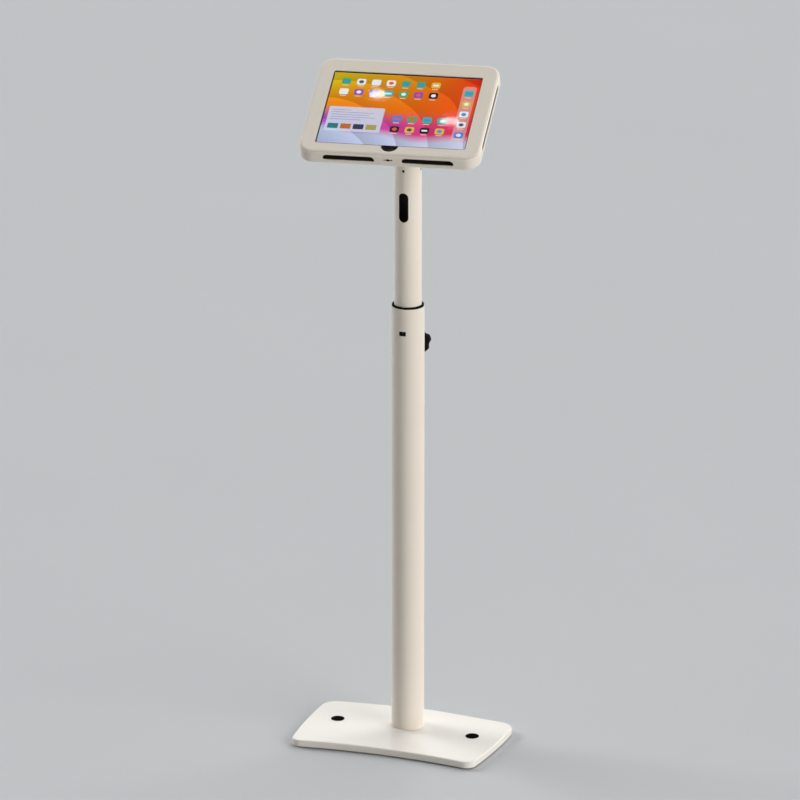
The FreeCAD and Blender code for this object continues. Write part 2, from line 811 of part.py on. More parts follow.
def clamp_knob():
    """Star knob: a disc with scallops between its lobes, and a hub towards the column."""
    body = body_named("clamp_knob")
    back = knob_back()
    disc_low = back + size.knob_hub_length
    disc = sketch_on(body, "knob_disc", "XY_Plane", disc_low)
    add_circle(disc, size.knob_dia / 2)
    add_pad(body, disc, size.knob_depth)
    scallop = sketch_on(body, "knob_scallop", "XY_Plane", disc_low)
    angle = math.radians(180 / number(size.knob_lobes) - number(size.knob_first_lobe))
    add_circle(scallop, size.knob_scallop_dia / 2, size.knob_scallop_circle / 2 * math.cos(angle),
               size.knob_scallop_circle / 2 * math.sin(angle))
    cut = add_cut(body, scallop, size.knob_depth, backwards=True)
    pattern = body.newObject("PartDesign::PolarPattern", "knob_scallops")
    pattern.Originals = [cut]
    pattern.Axis = (disc, ["N_Axis"])
    pattern.Angle = 360
    bind(pattern, "Occurrences", size.knob_lobes)
    body.Tip = pattern
    doc.recompute()
    corners = add_fillet(body, pattern, size.knob_lobe_round, upright_edge)
    face = add_bevel(body, corners, size.knob_face_bevel, edge_at_level(disc_low + size.knob_depth))
    add_bevel(body, face, size.knob_face_bevel, edge_at_level(disc_low))
    hub = sketch_on(body, "knob_hub", "XY_Plane", back)
    add_circle(hub, size.knob_hub_dia / 2)
    add_pad(body, hub, size.knob_hub_length + size.knob_depth / 2)
    bore = sketch_on(body, "knob_bore", "XY_Plane", back)
    add_circle(bore, size.stud_dia / 2 + size.weld_gap)
    add_cut(body, bore, size.knob_hub_length + size.stud_bite + size.weld_gap, backwards=True)
    return on_clamp(body)


# Upper column

def upper_tube():
    length = size.upper_tube_shown + size.upper_tube_held
    body = ring_body("upper_tube", upper_outer, upper_inner, tube_foot, length)
    slot = sketch_on(body, "cable_slot", "XZ_Plane")
    add_stadium(slot, size.cable_slot_length, size.cable_slot_width, 0,
                ring_top + size.cable_slot_rise + size.cable_slot_length / 2, upright=True)
    add_cut(body, slot, size.upper_tube_dia, backwards=True)
    cut_neck_holes(body, "tube")
    return body


def cut_neck_holes(body, name):
    """Four holes for the neck screws, a quarter turn apart."""
    for plane in ("XZ_Plane", "YZ_Plane"):
        holes = sketch_on(body, f"{name}_holes_{plane[:2]}", plane)
        add_circle(holes, size.neck_screw_dia / 2 + size.seat_gap, 0, tube_top - size.neck_screw_drop)
        add_cut(body, holes, size.lower_tube_dia * 2, both_ways=True)


def slide_bush():
    outer = lower_inner - size.slide_gap
    bore = upper_outer + size.running_gap
    foot = tube_foot - size.slide_bush_lip
    top = foot + size.slide_bush_length
    return revolved_body("slide_bush", [
        (upper_inner, foot), (outer - size.edge_break, foot), (outer, foot + size.edge_break),
        (outer, top), (bore, top),
        (bore, tube_foot), (upper_inner, tube_foot)])


def neck_insert():
    outer = upper_inner - size.running_gap
    bore = size.swivel_bolt_dia / 2 + size.running_gap
    cup = size.insert_cup_dia / 2
    foot = tube_top - size.insert_depth
    web = neck_top - size.insert_web
    body = revolved_body("neck_insert", [
        (cup, foot), (outer, foot), (outer, tube_top), (upper_outer, tube_top), (upper_outer, neck_top),
        (bore, neck_top), (bore, web), (cup, web)])
    cut_neck_holes(body, "insert")
    return body


def neck_screws():
    radius = size.neck_screw_dia / 2
    head = upper_outer - size.neck_screw_recess
    tail = head - size.neck_screw_length
    bevel = size.fine_edge_break
    screw = turned_screw([
        (0, tail), (radius - bevel, tail), (radius, tail + bevel), (radius, head), (0, head)])
    level = tube_top - size.neck_screw_drop
    turns = [turned((0, 0, 1), 90 * step).multiply(turned((1, 0, 0), 90)) for step in range(4)]
    return solid_group("neck_screws", [moved(screw, 0, 0, level, turn) for turn in turns])


def swivel_bolt():
    """Hexagon bolt that hangs in the neck insert and carries the yoke."""
    body = body_named("swivel_bolt")
    web = neck_top - size.insert_web
    head = sketch_on(body, "bolt_head", "XY_Plane", web - size.swivel_head_height)
    add_hexagon(head, size.swivel_head_flats)
    add_pad(body, head, size.swivel_head_height)
    shank = sketch_on(body, "bolt_shank", "XY_Plane", web - size.swivel_head_height)
    add_circle(shank, size.swivel_bolt_dia / 2)
    stack = size.swivel_washer + size.yoke_base + size.lock_washer + size.swivel_nut_height + size.bolt_tail
    add_pad(body, shank, size.swivel_head_height + size.insert_web + stack)
    return body


def swivel_washer():
    bore = size.swivel_bolt_dia / 2 + size.seat_gap
    return ring_body("swivel_washer", upper_outer - size.edge_break, bore, neck_top, size.swivel_washer)


def swivel_lock_washer():
    bore = size.swivel_bolt_dia / 2 + size.seat_gap
    return ring_body("swivel_lock_washer", size.swivel_bolt_dia, bore,
                     yoke_foot + size.yoke_base, size.lock_washer)


def swivel_nut():
    body = body_named("swivel_nut")
    low = yoke_foot + size.yoke_base + size.lock_washer
    nut = sketch_on(body, "swivel_nut_outline", "XY_Plane", low)
    add_hexagon(nut, size.swivel_head_flats)
    add_circle(nut, size.swivel_bolt_dia / 2 + size.weld_gap)
    add_pad(body, nut, size.swivel_nut_height)
    return body


# Yoke and tilt hinge

def swivel_yoke():
    """Bent plate: a foot on the neck and two cheeks that lean forward to the tilt axis."""
    body = body_named("swivel_yoke")
    width = size.yoke_gap + size.yoke_cheek * 2
    side = sketch_on(body, "yoke_side", "YZ_Plane")
    add_cheek(side, size.yoke_back, -size.yoke_front, 0, -size.pivot_forward, size.pivot_rise,
              size.yoke_eye_radius)
    block = add_pad(body, side, width, both_ways=True)
    add_fillet(body, block, size.yoke_cheek, lambda edge: edge.BoundBox.ZMax < NEAR
               and edge.BoundBox.YLength < NEAR and edge.BoundBox.YMin > 0)
    gap = sketch_on(body, "yoke_gap_outline", "XZ_Plane")
    gap_top = size.pivot_rise + size.yoke_eye_radius + CUT_MARGIN
    add_rectangle(gap, size.yoke_gap / 2, size.yoke_base, gap_top)
    add_cut(body, gap, (size.pivot_forward + size.yoke_eye_radius + size.yoke_back) * 2, both_ways=True)
    bore = sketch_on(body, "yoke_swivel_bore", "XY_Plane")
    add_circle(bore, size.swivel_bolt_dia / 2 + size.running_gap)
    add_cut(body, bore, size.yoke_base, backwards=True)
    eyes = sketch_on(body, "yoke_eyes", "YZ_Plane")
    add_circle(eyes, size.tilt_bolt_dia / 2 + size.running_gap, -size.pivot_forward, size.pivot_rise)
    add_cut(body, eyes, width + CUT_MARGIN * 2, both_ways=True)
    return on_yoke(body)


def tilt_bolt():
    body = body_named("tilt_bolt")
    half = size.yoke_gap / 2 + size.yoke_cheek
    head = sketch_on(body, "tilt_head", "XY_Plane", -half - size.tilt_head_height)
    add_hexagon(head, size.tilt_bolt_flats)
    add_pad(body, head, size.tilt_head_height)
    shank = sketch_on(body, "tilt_shank", "XY_Plane", -half - size.tilt_head_height)
    add_circle(shank, size.tilt_bolt_dia / 2)
    add_pad(body, shank, half * 2 + size.tilt_head_height + size.tilt_nut_height + size.bolt_tail)
    return on_hinge(body)


def tilt_nut():
    body = body_named("tilt_nut")
    nut = sketch_on(body, "tilt_nut_outline", "XY_Plane", size.yoke_gap / 2 + size.yoke_cheek)
    add_hexagon(nut, size.tilt_bolt_flats)
    add_circle(nut, size.tilt_bolt_dia / 2 + size.weld_gap)
    add_pad(body, nut, size.tilt_nut_height)
    return on_hinge(body)


def tilt_washers():
    """Friction washers between the yoke's cheeks and the bracket's ears."""
    outer = Part.makeCylinder(number(size.tilt_washer_dia) / 2, number(size.tilt_washer))
    bore = number(size.tilt_bolt_dia / 2 + size.running_gap)
    ring = outer.cut(Part.makeCylinder(bore, number(size.tilt_washer)))
    places = [bracket_half(), -size.yoke_gap / 2]
    return on_hinge(solid_group("tilt_washers", [moved(ring, 0, 0, place) for place in places]))


def bracket_half():
    return size.yoke_gap / 2 - size.tilt_washer


def tilt_spacer():
    body = ring_body("tilt_spacer", size.spacer_dia / 2, size.tilt_bolt_dia / 2 + size.running_gap,
                     -(bracket_half() - size.bracket_ear), (bracket_half() - size.bracket_ear) * 2)
    return on_hinge(body)


def tilt_bracket():
    """Square plate behind the enclosure, with two ears that reach down to the tilt axis."""
    body = body_named("tilt_bracket")
    rear = size.panel_offset - size.bracket_plate
    ears = sketch_on(body, "bracket_ears", "YZ_Plane")
    half_base = size.bracket_ear_base / 2
    add_cheek(ears, half_base, -half_base, rear, 0, 0, size.bracket_eye_radius)
    add_pad(body, ears, bracket_half() * 2, both_ways=True)
    gap = sketch_on(body, "bracket_gap", "XZ_Plane")
    add_rectangle(gap, bracket_half() - size.bracket_ear, -size.bracket_eye_radius - CUT_MARGIN, rear)
    add_cut(body, gap, size.bracket_side, both_ways=True)
    plate = sketch_on(body, "bracket_plate_outline", "XY_Plane", rear)
    add_rectangle(plate, size.bracket_side / 2, -size.bracket_side / 2, size.bracket_side / 2)
    joined = add_pad(body, plate, size.bracket_plate)
    add_fillet(body, joined, size.bracket_corner_radius, lambda edge: upright_edge(edge)
               and abs(edge.BoundBox.XMin) > number(size.bracket_side) / 2 - NEAR)
    eyes = sketch_on(body, "bracket_eyes", "YZ_Plane")
    add_circle(eyes, size.tilt_bolt_dia / 2 + size.running_gap)
    add_cut(body, eyes, size.bracket_side, both_ways=True)
    cut_square_holes(body, "bracket_holes", rear, size.bracket_plate)
    return on_head(body)


def cut_square_holes(body, name, low, depth):
    holes = sketch_on(body, name, "XY_Plane", low)
    for across, up in square_corners():
        add_circle(holes, size.bracket_screw_dia / 2 + size.seat_gap,
                   size.bracket_pitch / 2 * across, size.bracket_pitch / 2 * up)
    add_cut(body, holes, depth, backwards=True)


def square_corners():
    return [(-1, -1), (1, -1), (1, 1), (-1, 1)]


# Enclosure

def rounded_block(body, name, half_width, half_height, middle, low, depth, radius):
    outline = sketch_on(body, name, "XY_Plane", low)
    add_rectangle(outline, half_width, middle - half_height, middle + half_height)
    block = add_pad(body, outline, depth)
    return add_fillet(body, block, radius, upright_edge)


def front_frame():
    """Tray with rolled front edges, a window, wall slots and posts for the back panel."""
    body = body_named("front_frame")
    block = rounded_block(body, "frame_outline", head_width / 2, head_height / 2, head_middle,
                          size.panel_offset, size.head_depth, size.head_corner_radius)
    rolled = add_fillet(body, block, size.head_edge_radius, edge_at_level(frame_front))
    shell = body.newObject("PartDesign::Thickness", "frame_shell")
    rear = [f"Face{index}" for index, face in enumerate(rolled.Shape.Faces, start=1)
            if face.BoundBox.ZMax < number(size.panel_offset) + NEAR]
    shell.Base = (rolled, rear)
    bind(shell, "Value", size.head_wall)
    shell.Reversed = True
    doc.recompute()
    cut_window(body)
    cut_wall_slots(body)
    posts = sketch_on(body, "frame_posts", "XY_Plane", panel_front)
    for across, up in square_corners():
        add_circle(posts, size.post_dia / 2, post_across * across, post_up * up + head_middle)
    add_pad(body, posts, frame_inside - panel_front + size.head_wall / 2)
    taps = sketch_on(body, "post_taps", "XY_Plane", panel_front)
    for across, up in square_corners():
        add_circle(taps, size.frame_screw_dia / 2 + size.weld_gap,
                   post_across * across, post_up * up + head_middle)
    add_cut(body, taps, size.frame_screw_length, backwards=True)
    return on_head(body)


def cut_window(body):
    window = sketch_on(body, "window", "XY_Plane", frame_inside)
    half_height = window_height / 2
    add_rectangle(window, window_width / 2, tablet_middle - half_height, tablet_middle + half_height)
    opened = add_cut(body, window, size.head_wall * 2, backwards=True)
    add_fillet(body, opened, size.window_corner, lambda edge: upright_edge(edge)
               and abs(abs(edge.BoundBox.XMin) - number(window_width) / 2) < NEAR)
    notch = sketch_on(body, "notch", "XY_Plane", frame_inside)
    add_circle(notch, size.notch_radius, 0, tablet_middle - half_height)
    add_cut(body, notch, size.head_wall * 2, backwards=True)


def cut_wall_slots(body):
    sides = sketch_on(body, "side_slots", "YZ_Plane")
    add_stadium(sides, size.side_slot_length, size.slot_width, head_middle, slot_level)
    add_cut(body, sides, head_width + CUT_MARGIN * 2, both_ways=True)
    for side in (-1, 1):
        cut_front_slot(body, side)
    lock = sketch_on(body, "lock_slot", "XZ_Plane", -head_middle)
    add_stadium(lock, size.lock_slot_length, size.lock_slot_width, 0, slot_level)
    add_cut(body, lock, head_height / 2 + CUT_MARGIN, backwards=True)
    recess = sketch_on(body, "lock_recess", "XZ_Plane", -head_middle)
    add_circle(recess, size.lock_screw_head / 2 + size.seat_gap, 0, slot_level)
    add_cut(body, recess, head_height / 2 + CUT_MARGIN, backwards=True)


def cut_front_slot(body, side):
    """Slot in the front wall, round towards the screen and nearly square towards the back."""
    slot = sketch_on(body, "left_slot" if side < 0 else "right_slot", "XZ_Plane", -head_middle)
    low = slot_level - size.slot_width / 2
    high = slot_level + size.slot_width / 2
    near = (size.front_slot_pitch - size.front_slot_length) / 2 * side
    far = (size.front_slot_pitch + size.front_slot_length) / 2 * side
    add_polygon(slot, [(near, low), (far, low), (far, high), (near, high)])
    feature = add_cut(body, slot, head_height / 2 + CUT_MARGIN, backwards=True)
    for level, radius in ((high, size.front_slot_round), (low, size.front_slot_back_round)):
        feature = add_fillet(body, feature, radius, slot_corner(level, (near, far)))


def slot_corner(level, ends):
    """Test for an edge through the front wall at one level and either end of a slot."""
    def found(edge):
        box = edge.BoundBox
        across_wall = box.XLength < NEAR and box.ZLength < NEAR and box.YMax < number(head_middle)
        return (across_wall and abs(box.ZMin - number(level)) < NEAR
                and any(abs(box.XMin - number(end)) < NEAR for end in ends))
    return found


def back_panel():
    """Flat panel inside the frame's rear, with a cable hole and a tab for the lock screw."""
    body = body_named("back_panel")
    half_width = cavity_half_width - size.panel_gap
    half_height = cavity_half_height - size.panel_gap
    radius = size.head_corner_radius - size.head_wall - size.panel_gap
    rounded_block(body, "panel_outline", half_width, half_height, head_middle, size.panel_offset,
                  size.panel_thickness, radius)
    tab = sketch_on(body, "lock_tab", "XY_Plane", size.panel_offset)
    edge = head_middle - half_height
    add_rectangle(tab, size.lock_tab_width / 2, edge, edge + size.panel_thickness)
    add_pad(body, tab, slot_level - size.panel_offset + size.lock_screw_head)
    tap = sketch_on(body, "lock_tap", "XZ_Plane", -head_middle)
    add_circle(tap, size.lock_screw_dia / 2 + size.weld_gap, 0, slot_level)
    add_cut(body, tap, head_height / 2, backwards=True)
    cut_square_holes(body, "panel_square_holes", size.panel_offset, size.panel_thickness)
    cable = sketch_on(body, "panel_cable", "XY_Plane", size.panel_offset)
    add_circle(cable, size.panel_cable_hole / 2, 0, -size.panel_cable_drop)
    for across, up in square_corners():
        add_circle(cable, size.frame_screw_dia / 2 + size.panel_gap,
                   post_across * across, post_up * up + head_middle)
    add_cut(body, cable, size.panel_thickness, backwards=True)
    return on_head(body)


def button_screw(diameter, length, face):
    """Button-head screw along +Z whose head rests under the face."""
    radius = diameter / 2
    head = diameter * BUTTON_RADIUS
    height = diameter * BUTTON_HEIGHT
    return turned_screw([
        (0, face - height), (head * BUTTON_CROWN, face - height), (head, face - height * BUTTON_RIM),
        (head, face), (radius, face), (radius, face + length), (0, face + length)])


def bracket_screws():
    grip = size.bracket_plate + size.panel_thickness + size.clinch_nut_height
    face = size.panel_offset - size.bracket_plate
    screw = button_screw(size.bracket_screw_dia, grip + size.fine_edge_break, face)
    half = size.bracket_pitch / 2
    places = [(half * x, half * y) for x, y in square_corners()]
    return on_head(solid_group("bracket_screws", [moved(screw, x, y, 0) for x, y in places]))


def clinch_nuts():
    height = number(size.clinch_nut_height)
    outer = Part.makeCylinder(number(size.clinch_nut_dia) / 2, height)
    nut = outer.cut(Part.makeCylinder(number(size.bracket_screw_dia / 2 + size.weld_gap), height))
    half = size.bracket_pitch / 2
    return on_head(solid_group("clinch_nuts", [moved(nut, half * x, half * y, panel_front)
                                               for x, y in square_corners()]))


def frame_screws():
    screw = button_screw(size.frame_screw_dia, size.frame_screw_length, size.panel_offset)
    return on_head(solid_group("frame_screws", [
        moved(screw, post_across * x, post_up * y + head_middle, 0) for x, y in square_corners()]))


def lock_screw():
    """Short screw whose head fills the round recess in the lock slot."""
    head = size.lock_screw_head / 2
    shank = size.lock_screw_dia / 2
    face = head_height / 2 - size.panel_gap
    shoulder = cavity_half_height - size.panel_gap
    body = revolved_body("lock_screw", [
        (0, shoulder - size.lock_screw_length), (shank, shoulder - size.lock_screw_length),
        (shank, shoulder), (head, shoulder), (head, face), (0, face)])
    on_head(body)
    drop = FreeCAD.Vector(0, number(head_middle), number(slot_level))
    seat = FreeCAD.Placement(drop, turned((1, 0, 0), 90))
    body.Placement = body.Placement.multiply(seat)
    return body


# Tablet and what holds it

def window_seal():
    """Foam frame between the enclosure's window and the glass."""
    body = body_named("window_seal")
    outline = sketch_on(body, "seal_outline", "XY_Plane", glass_front)
    half_width = size.tablet_width / 2 - size.glass_border
    half_height = size.tablet_height / 2 - size.glass_border
    add_rounded_rectangle(outline, half_width, tablet_middle - half_height, tablet_middle + half_height,
                          size.tablet_corner - size.glass_border)
    add_pad(body, outline, size.seal_thickness)
    hole_half = window_width / 2 + size.seal_lap
    hole_up = window_height / 2 + size.seal_lap
    hole = sketch_on(body, "seal_hole", "XY_Plane", glass_front)
    add_rounded_rectangle(hole, hole_half, tablet_middle - hole_up, tablet_middle + hole_up,
                          size.seal_corner_radius)
    add_cut(body, hole, size.seal_thickness, backwards=True)
    notch = sketch_on(body, "seal_notch", "XY_Plane", glass_front)
    add_rectangle(notch, size.notch_radius + size.seal_lap, tablet_middle - half_height - CUT_MARGIN,
                  tablet_middle - hole_up + CUT_MARGIN)
    add_cut(body, notch, size.seal_thickness, backwards=True)
    return on_head(body)


def tablet_case():
    body = body_named("tablet_case")
    rounded_block(body, "case_outline", size.tablet_width / 2, size.tablet_height / 2,
                  tablet_middle, tablet_back, size.tablet_depth, size.tablet_corner)
    pocket = sketch_on(body, "glass_pocket", "XY_Plane", glass_front - size.glass_thickness)
    half_width = size.tablet_width / 2 - size.glass_border
    half_height = size.tablet_height / 2 - size.glass_border
    add_rounded_rectangle(pocket, half_width, tablet_middle - half_height, tablet_middle + half_height,
                          size.tablet_corner - size.glass_border)
    add_cut(body, pocket, size.glass_thickness, backwards=True)
    well = sketch_on(body, "display_well", "XY_Plane",
                     glass_front - size.glass_thickness - size.display_thickness)
    add_rectangle(well, display_width / 2 + size.seat_gap,
                  tablet_middle - display_height / 2 - size.seat_gap,
                  tablet_middle + display_height / 2 + size.seat_gap)
    add_cut(body, well, size.display_thickness, backwards=True)
    return on_head(body)


def tablet_display():
    body = body_named("tablet_display")
    panel = sketch_on(body, "display_outline", "XY_Plane",
                      glass_front - size.glass_thickness - size.display_thickness)
    add_rectangle(panel, display_width / 2, tablet_middle - display_height / 2,
                  tablet_middle + display_height / 2)
    add_pad(body, panel, size.display_thickness)
    return on_head(body)


def tablet_glass():
    body = body_named("tablet_glass")
    inset = size.glass_border + size.seat_gap
    rounded_block(body, "glass_outline", size.tablet_width / 2 - inset, size.tablet_height / 2 - inset,
                  tablet_middle, glass_front - size.glass_thickness, size.glass_thickness,
                  size.tablet_corner - inset)
    return on_head(body)


def corner_pad(label, across, up):
    """Foam block that backs one corner of the tablet and fills the space round it."""
    body = body_named(label)
    block = sketch_on(body, f"{label}_block", "XY_Plane", panel_front)
    inner_x = (size.tablet_width / 2 - size.pad_lap_across) * across
    outer_x = (cavity_half_width - size.panel_gap) * across
    inner_y = (size.tablet_height / 2 - size.pad_lap_up) * up + tablet_middle
    outer_y = (cavity_half_height - size.panel_gap) * up + head_middle
    add_polygon(block, [(inner_x, inner_y), (outer_x, inner_y), (outer_x, outer_y), (inner_x, outer_y)])
    solid = add_pad(body, block, frame_inside - size.head_edge_radius - panel_front)
    outer_edge = (number(outer_x), number(outer_y))
    add_fillet(body, solid, size.head_corner_radius - size.head_wall - size.panel_gap,
               lambda edge: upright_edge(edge) and math.hypot(
                   edge.Vertexes[0].X - outer_edge[0], edge.Vertexes[0].Y - outer_edge[1]) < NEAR)
    seat = sketch_on(body, f"{label}_seat", "XY_Plane", tablet_back)
    edge_x = (size.tablet_width / 2 + size.seat_gap) * across
    edge_y = (size.tablet_height / 2 + size.seat_gap) * up + tablet_middle
    past_x = inner_x - CUT_MARGIN * across
    past_y = inner_y - CUT_MARGIN * up
    add_polygon(seat, [(past_x, past_y), (edge_x, past_y), (edge_x, edge_y), (past_x, edge_y)])
    add_cut(body, seat, size.head_depth, backwards=True)
    post = sketch_on(body, f"{label}_post", "XY_Plane", panel_front)
    add_circle(post, size.post_dia / 2 + size.panel_gap, post_across * across, post_up * up + head_middle)
    add_cut(body, post, size.head_depth, backwards=True)
    return on_head(body)


CORNER_PADS = {"corner_pad_lower_left": (-1, -1), "corner_pad_lower_right": (1, -1),
               "corner_pad_upper_right": (1, 1), "corner_pad_upper_left": (-1, 1)}


def build_all():
    pieces = [
        base_plate(), base_mat(), floor_plug("floor_plug_left", -1), floor_plug("floor_plug_right", 1),
        foot_insert(), column_screws(), lower_tube(), guide_bush(),
        clamp_boss(), clamp_pad(), clamp_stud(), clamp_knob(),
        upper_tube(), slide_bush(), neck_insert(), neck_screws(),
        swivel_bolt(), swivel_washer(), swivel_lock_washer(), swivel_nut(),
        swivel_yoke(), tilt_bolt(), tilt_nut(), tilt_washers(), tilt_spacer(), tilt_bracket(),
        front_frame(), back_panel(), bracket_screws(), clinch_nuts(), frame_screws(), lock_screw(),
        window_seal(), tablet_case(), tablet_display(), tablet_glass(),
    ]
    pieces += [corner_pad(label, across, up) for label, (across, up) in CORNER_PADS.items()]
    return pieces


def check_document(pieces):
    doc.recompute()
    for item in doc.Objects:
        if "Invalid" in item.State or "Error" in item.State:
            raise RuntimeError(f"{item.Label} failed: {item.State}")
    for piece in pieces:
        if piece.Shape.isNull() or not piece.Shape.isValid():
            raise RuntimeError(f"{piece.Label} has no valid shape")


def write_steps(pieces):
    os.makedirs("parts", exist_ok=True)
    for piece in pieces:
        piece.Shape.exportStep(os.path.join("parts", f"{piece.Label}.step"))


parts = build_all()
check_document(parts)
write_steps(parts)
print(f"{len(parts)} sub-parts written")
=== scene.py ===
import math

import bmesh
import bpy
from mathutils import Matrix, Vector


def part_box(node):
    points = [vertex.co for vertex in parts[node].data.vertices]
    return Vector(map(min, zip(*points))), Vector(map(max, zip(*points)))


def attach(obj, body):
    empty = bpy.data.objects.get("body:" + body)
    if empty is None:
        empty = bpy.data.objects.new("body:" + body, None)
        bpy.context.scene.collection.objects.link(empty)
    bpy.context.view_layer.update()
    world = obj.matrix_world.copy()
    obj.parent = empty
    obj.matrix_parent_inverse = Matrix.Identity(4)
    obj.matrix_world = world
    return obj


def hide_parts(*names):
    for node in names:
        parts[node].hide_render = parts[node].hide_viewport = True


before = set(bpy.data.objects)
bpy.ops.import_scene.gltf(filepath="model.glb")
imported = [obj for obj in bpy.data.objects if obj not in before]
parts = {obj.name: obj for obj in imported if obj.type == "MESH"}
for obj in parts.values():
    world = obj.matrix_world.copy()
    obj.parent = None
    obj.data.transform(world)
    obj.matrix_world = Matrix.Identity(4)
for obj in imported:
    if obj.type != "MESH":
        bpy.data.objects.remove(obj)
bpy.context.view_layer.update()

MM = 0.001

# The head's own frame: the tilt hinge, +X along it and +Z out of the screen
HINGE = Vector((8.0032, -46.8209, 1159.2)) * MM
SWIVEL = math.radians(9.7)
TILT = math.radians(23)
head_frame = (Matrix.Translation(HINGE) @ Matrix.Rotation(SWIVEL, 4, "Z")
              @ Matrix.Rotation(TILT, 4, "X"))

# Middles up the head, in millimetres from the hinge
HEAD_MIDDLE = -9.0
TABLET_MIDDLE = -14.5
SCREEN_MIDDLE = -12.35

# Levels out of the screen, in millimetres from the hinge
BRACKET_FACE = 37
PANEL_BACK = 40.0
LOCK_LEVEL = 52
BORDER_BACK = 55.5
GLASS_BACK = 60.45
GLASS_FRONT = 61.2
FRAME_INSIDE = 62.0

# Half widths and half heights on the head, with corner radii, in millimetres
HEAD_HALF, HEAD_CORNER = (162.5, 132.5), 27
BORDER_HALF, BORDER_CORNER = (139.8, 106.8), 13.3
GLASS_HALF, GLASS_CORNER = (139.5, 106.5), 12.9
SCREEN_HALF, SCREEN_CORNER = (134.4, 98.85), 1.0
BRACKET_SCREW_HALF = (50, 50)
FRAME_SCREW_HALF = (148.5, 118.5)
LOCK_DOWN = 139.2

# Levels up the column, and radii of its tubes, in millimetres
TUBE_TOP = 1121.5
NECK_SCREW_DROP = 42
CLAMP_HEIGHT = 735.5
LOWER_TUBE_RADIUS = 30
# Radii inside which the tubes are painted near black, as painted shade in their hollows
LOWER_TUBE_SHADE_RADIUS = 28.5
UPPER_TUBE_SHADE_RADIUS = 23.5


# Materials

def new_finish(name):
    """New material with its node tree and its main shader."""
    material = bpy.data.materials.new(name)
    material.use_nodes = True
    tree = material.node_tree
    return material, tree, tree.nodes["Principled BSDF"]


def feed(tree, socket, value):
    """Links an input to a socket, or sets it to a plain value or colour."""
    if isinstance(value, bpy.types.NodeSocket):
        tree.links.new(value, socket)
    elif socket.type == "RGBA":
        socket.default_value = (*value, 1)
    else:
        socket.default_value = value


def add(tree, kind, inputs=None, **settings):
    """Adds a node, with its settings and its inputs as values or sockets."""
    made = tree.nodes.new(f"ShaderNode{kind}")
    for key, value in settings.items():
        setattr(made, key, value)
    for key, value in (inputs or {}).items():
        feed(tree, made.inputs[key], value)
    return made


def math_node(tree, operation, *values):
    return add(tree, "Math", dict(enumerate(values)), operation=operation).outputs[0]


def vector_node(tree, operation, *values):
    """Result of a sum on vectors: a vector, or a number for a length or a distance."""
    made = add(tree, "VectorMath", dict(enumerate(values)), operation=operation)
    return made.outputs["Value" if operation in ("LENGTH", "DISTANCE") else "Vector"]


def split_vector(tree, vector):
    return add(tree, "SeparateXYZ", {"Vector": vector}).outputs


def object_place(tree):
    return add(tree, "TexCoord").outputs["Object"]


def head_place(tree):
    """Place on the head in its own frame, in metres."""
    mapping = add(tree, "Mapping", {"Vector": object_place(tree), "Location": HINGE,
                                    "Rotation": (TILT, 0, SWIVEL)}, vector_type="TEXTURE")
    return mapping.outputs[0]


def noise(tree, place, scale, detail=2.0, roughness=0.5):
    return add(tree, "TexNoise", {"Vector": place, "Scale": scale, "Detail": detail,
                                  "Roughness": roughness}).outputs[0]


def spread(tree, value, low, high, start=0.0, end=1.0):
    """Maps start..end onto low..high."""
    return add(tree, "MapRange", {"Value": value, "From Min": start, "From Max": end,
                                  "To Min": low, "To Max": high}).outputs[0]


def patchy(tree, cloud, low, high):
    """Drifts from low to high with the middle tones of a cloud."""
    return spread(tree, cloud, low, high, 0.3, 0.7)


def blend_colour(tree, share, first, second, blend_type="MIX"):
    made = add(tree, "Mix", data_type="RGBA", blend_type=blend_type)
    for key, value in (("Factor", share), (6, first), (7, second)):
        feed(tree, made.inputs[key], value)
    return made.outputs[2]


def bump(tree, height, strength, distance, normal=None):
    inputs = {"Height": height, "Strength": strength, "Distance": distance}
    if normal is not None:
        inputs["Normal"] = normal
    return add(tree, "Bump", inputs).outputs[0]


SHADER_INPUTS = {
    "colour": "Base Color", "metal": "Metallic", "rough": "Roughness", "normal": "Normal",
    "gloss": "Specular IOR Level", "clear": "Transmission Weight", "ior": "IOR",
    "glow": "Emission Color", "glow_strength": "Emission Strength"}


def set_inputs(tree, shader, **values):
    for key, value in values.items():
        feed(tree, shader.inputs[SHADER_INPUTS[key]], value)


def rounded_box(tree, place, centre, half, radius):
    """Signed distance in metres from a rounded box seen along the head's Z: negative inside."""
    moved = vector_node(tree, "SUBTRACT", place, Vector((centre[0], centre[1], 0)) * MM)
    flat = vector_node(tree, "MULTIPLY", moved, (1, 1, 0))
    core = Vector((half[0] - radius, half[1] - radius, 0)) * MM
    past = vector_node(tree, "SUBTRACT", vector_node(tree, "ABSOLUTE", flat), core)
    reach = vector_node(tree, "LENGTH", vector_node(tree, "MAXIMUM", past, (0, 0, 0)))
    return math_node(tree, "SUBTRACT", reach, radius * MM)


def inside(tree, distance, edge=0.0):
    """1 where a distance is below an edge in millimetres, or else 0."""
    return math_node(tree, "LESS_THAN", distance, edge * MM)


CREAM = (0.80, 0.735, 0.650)
CREAM_DEEP = (0.77, 0.702, 0.614)
# Lighter, paler copy of the cream coat for the base plate: painted light for its brightly lit top
PLATE_CREAM_PAINTED_LIGHT = (0.85, 0.81, 0.76)
PLATE_CREAM_DEEP_PAINTED_LIGHT = (0.83, 0.785, 0.73)
# Near black painted inside the tubes: painted shade
TUBE_INSIDE_PAINTED_SHADE = (0.055, 0.052, 0.05)
# Near black painted inside the head enclosure: painted shade
ENCLOSURE_INSIDE_PAINTED_SHADE = (0.030, 0.024, 0.019)
# Border colour: the bezel's own dark tone, lifted to brown as a painted reflection
BORDER_DARK_AND_REFLECTION = (0.042, 0.025, 0.018)
SATIN = (0.30, 0.40)
PLATE_GLOSS = (0.15, 0.22)


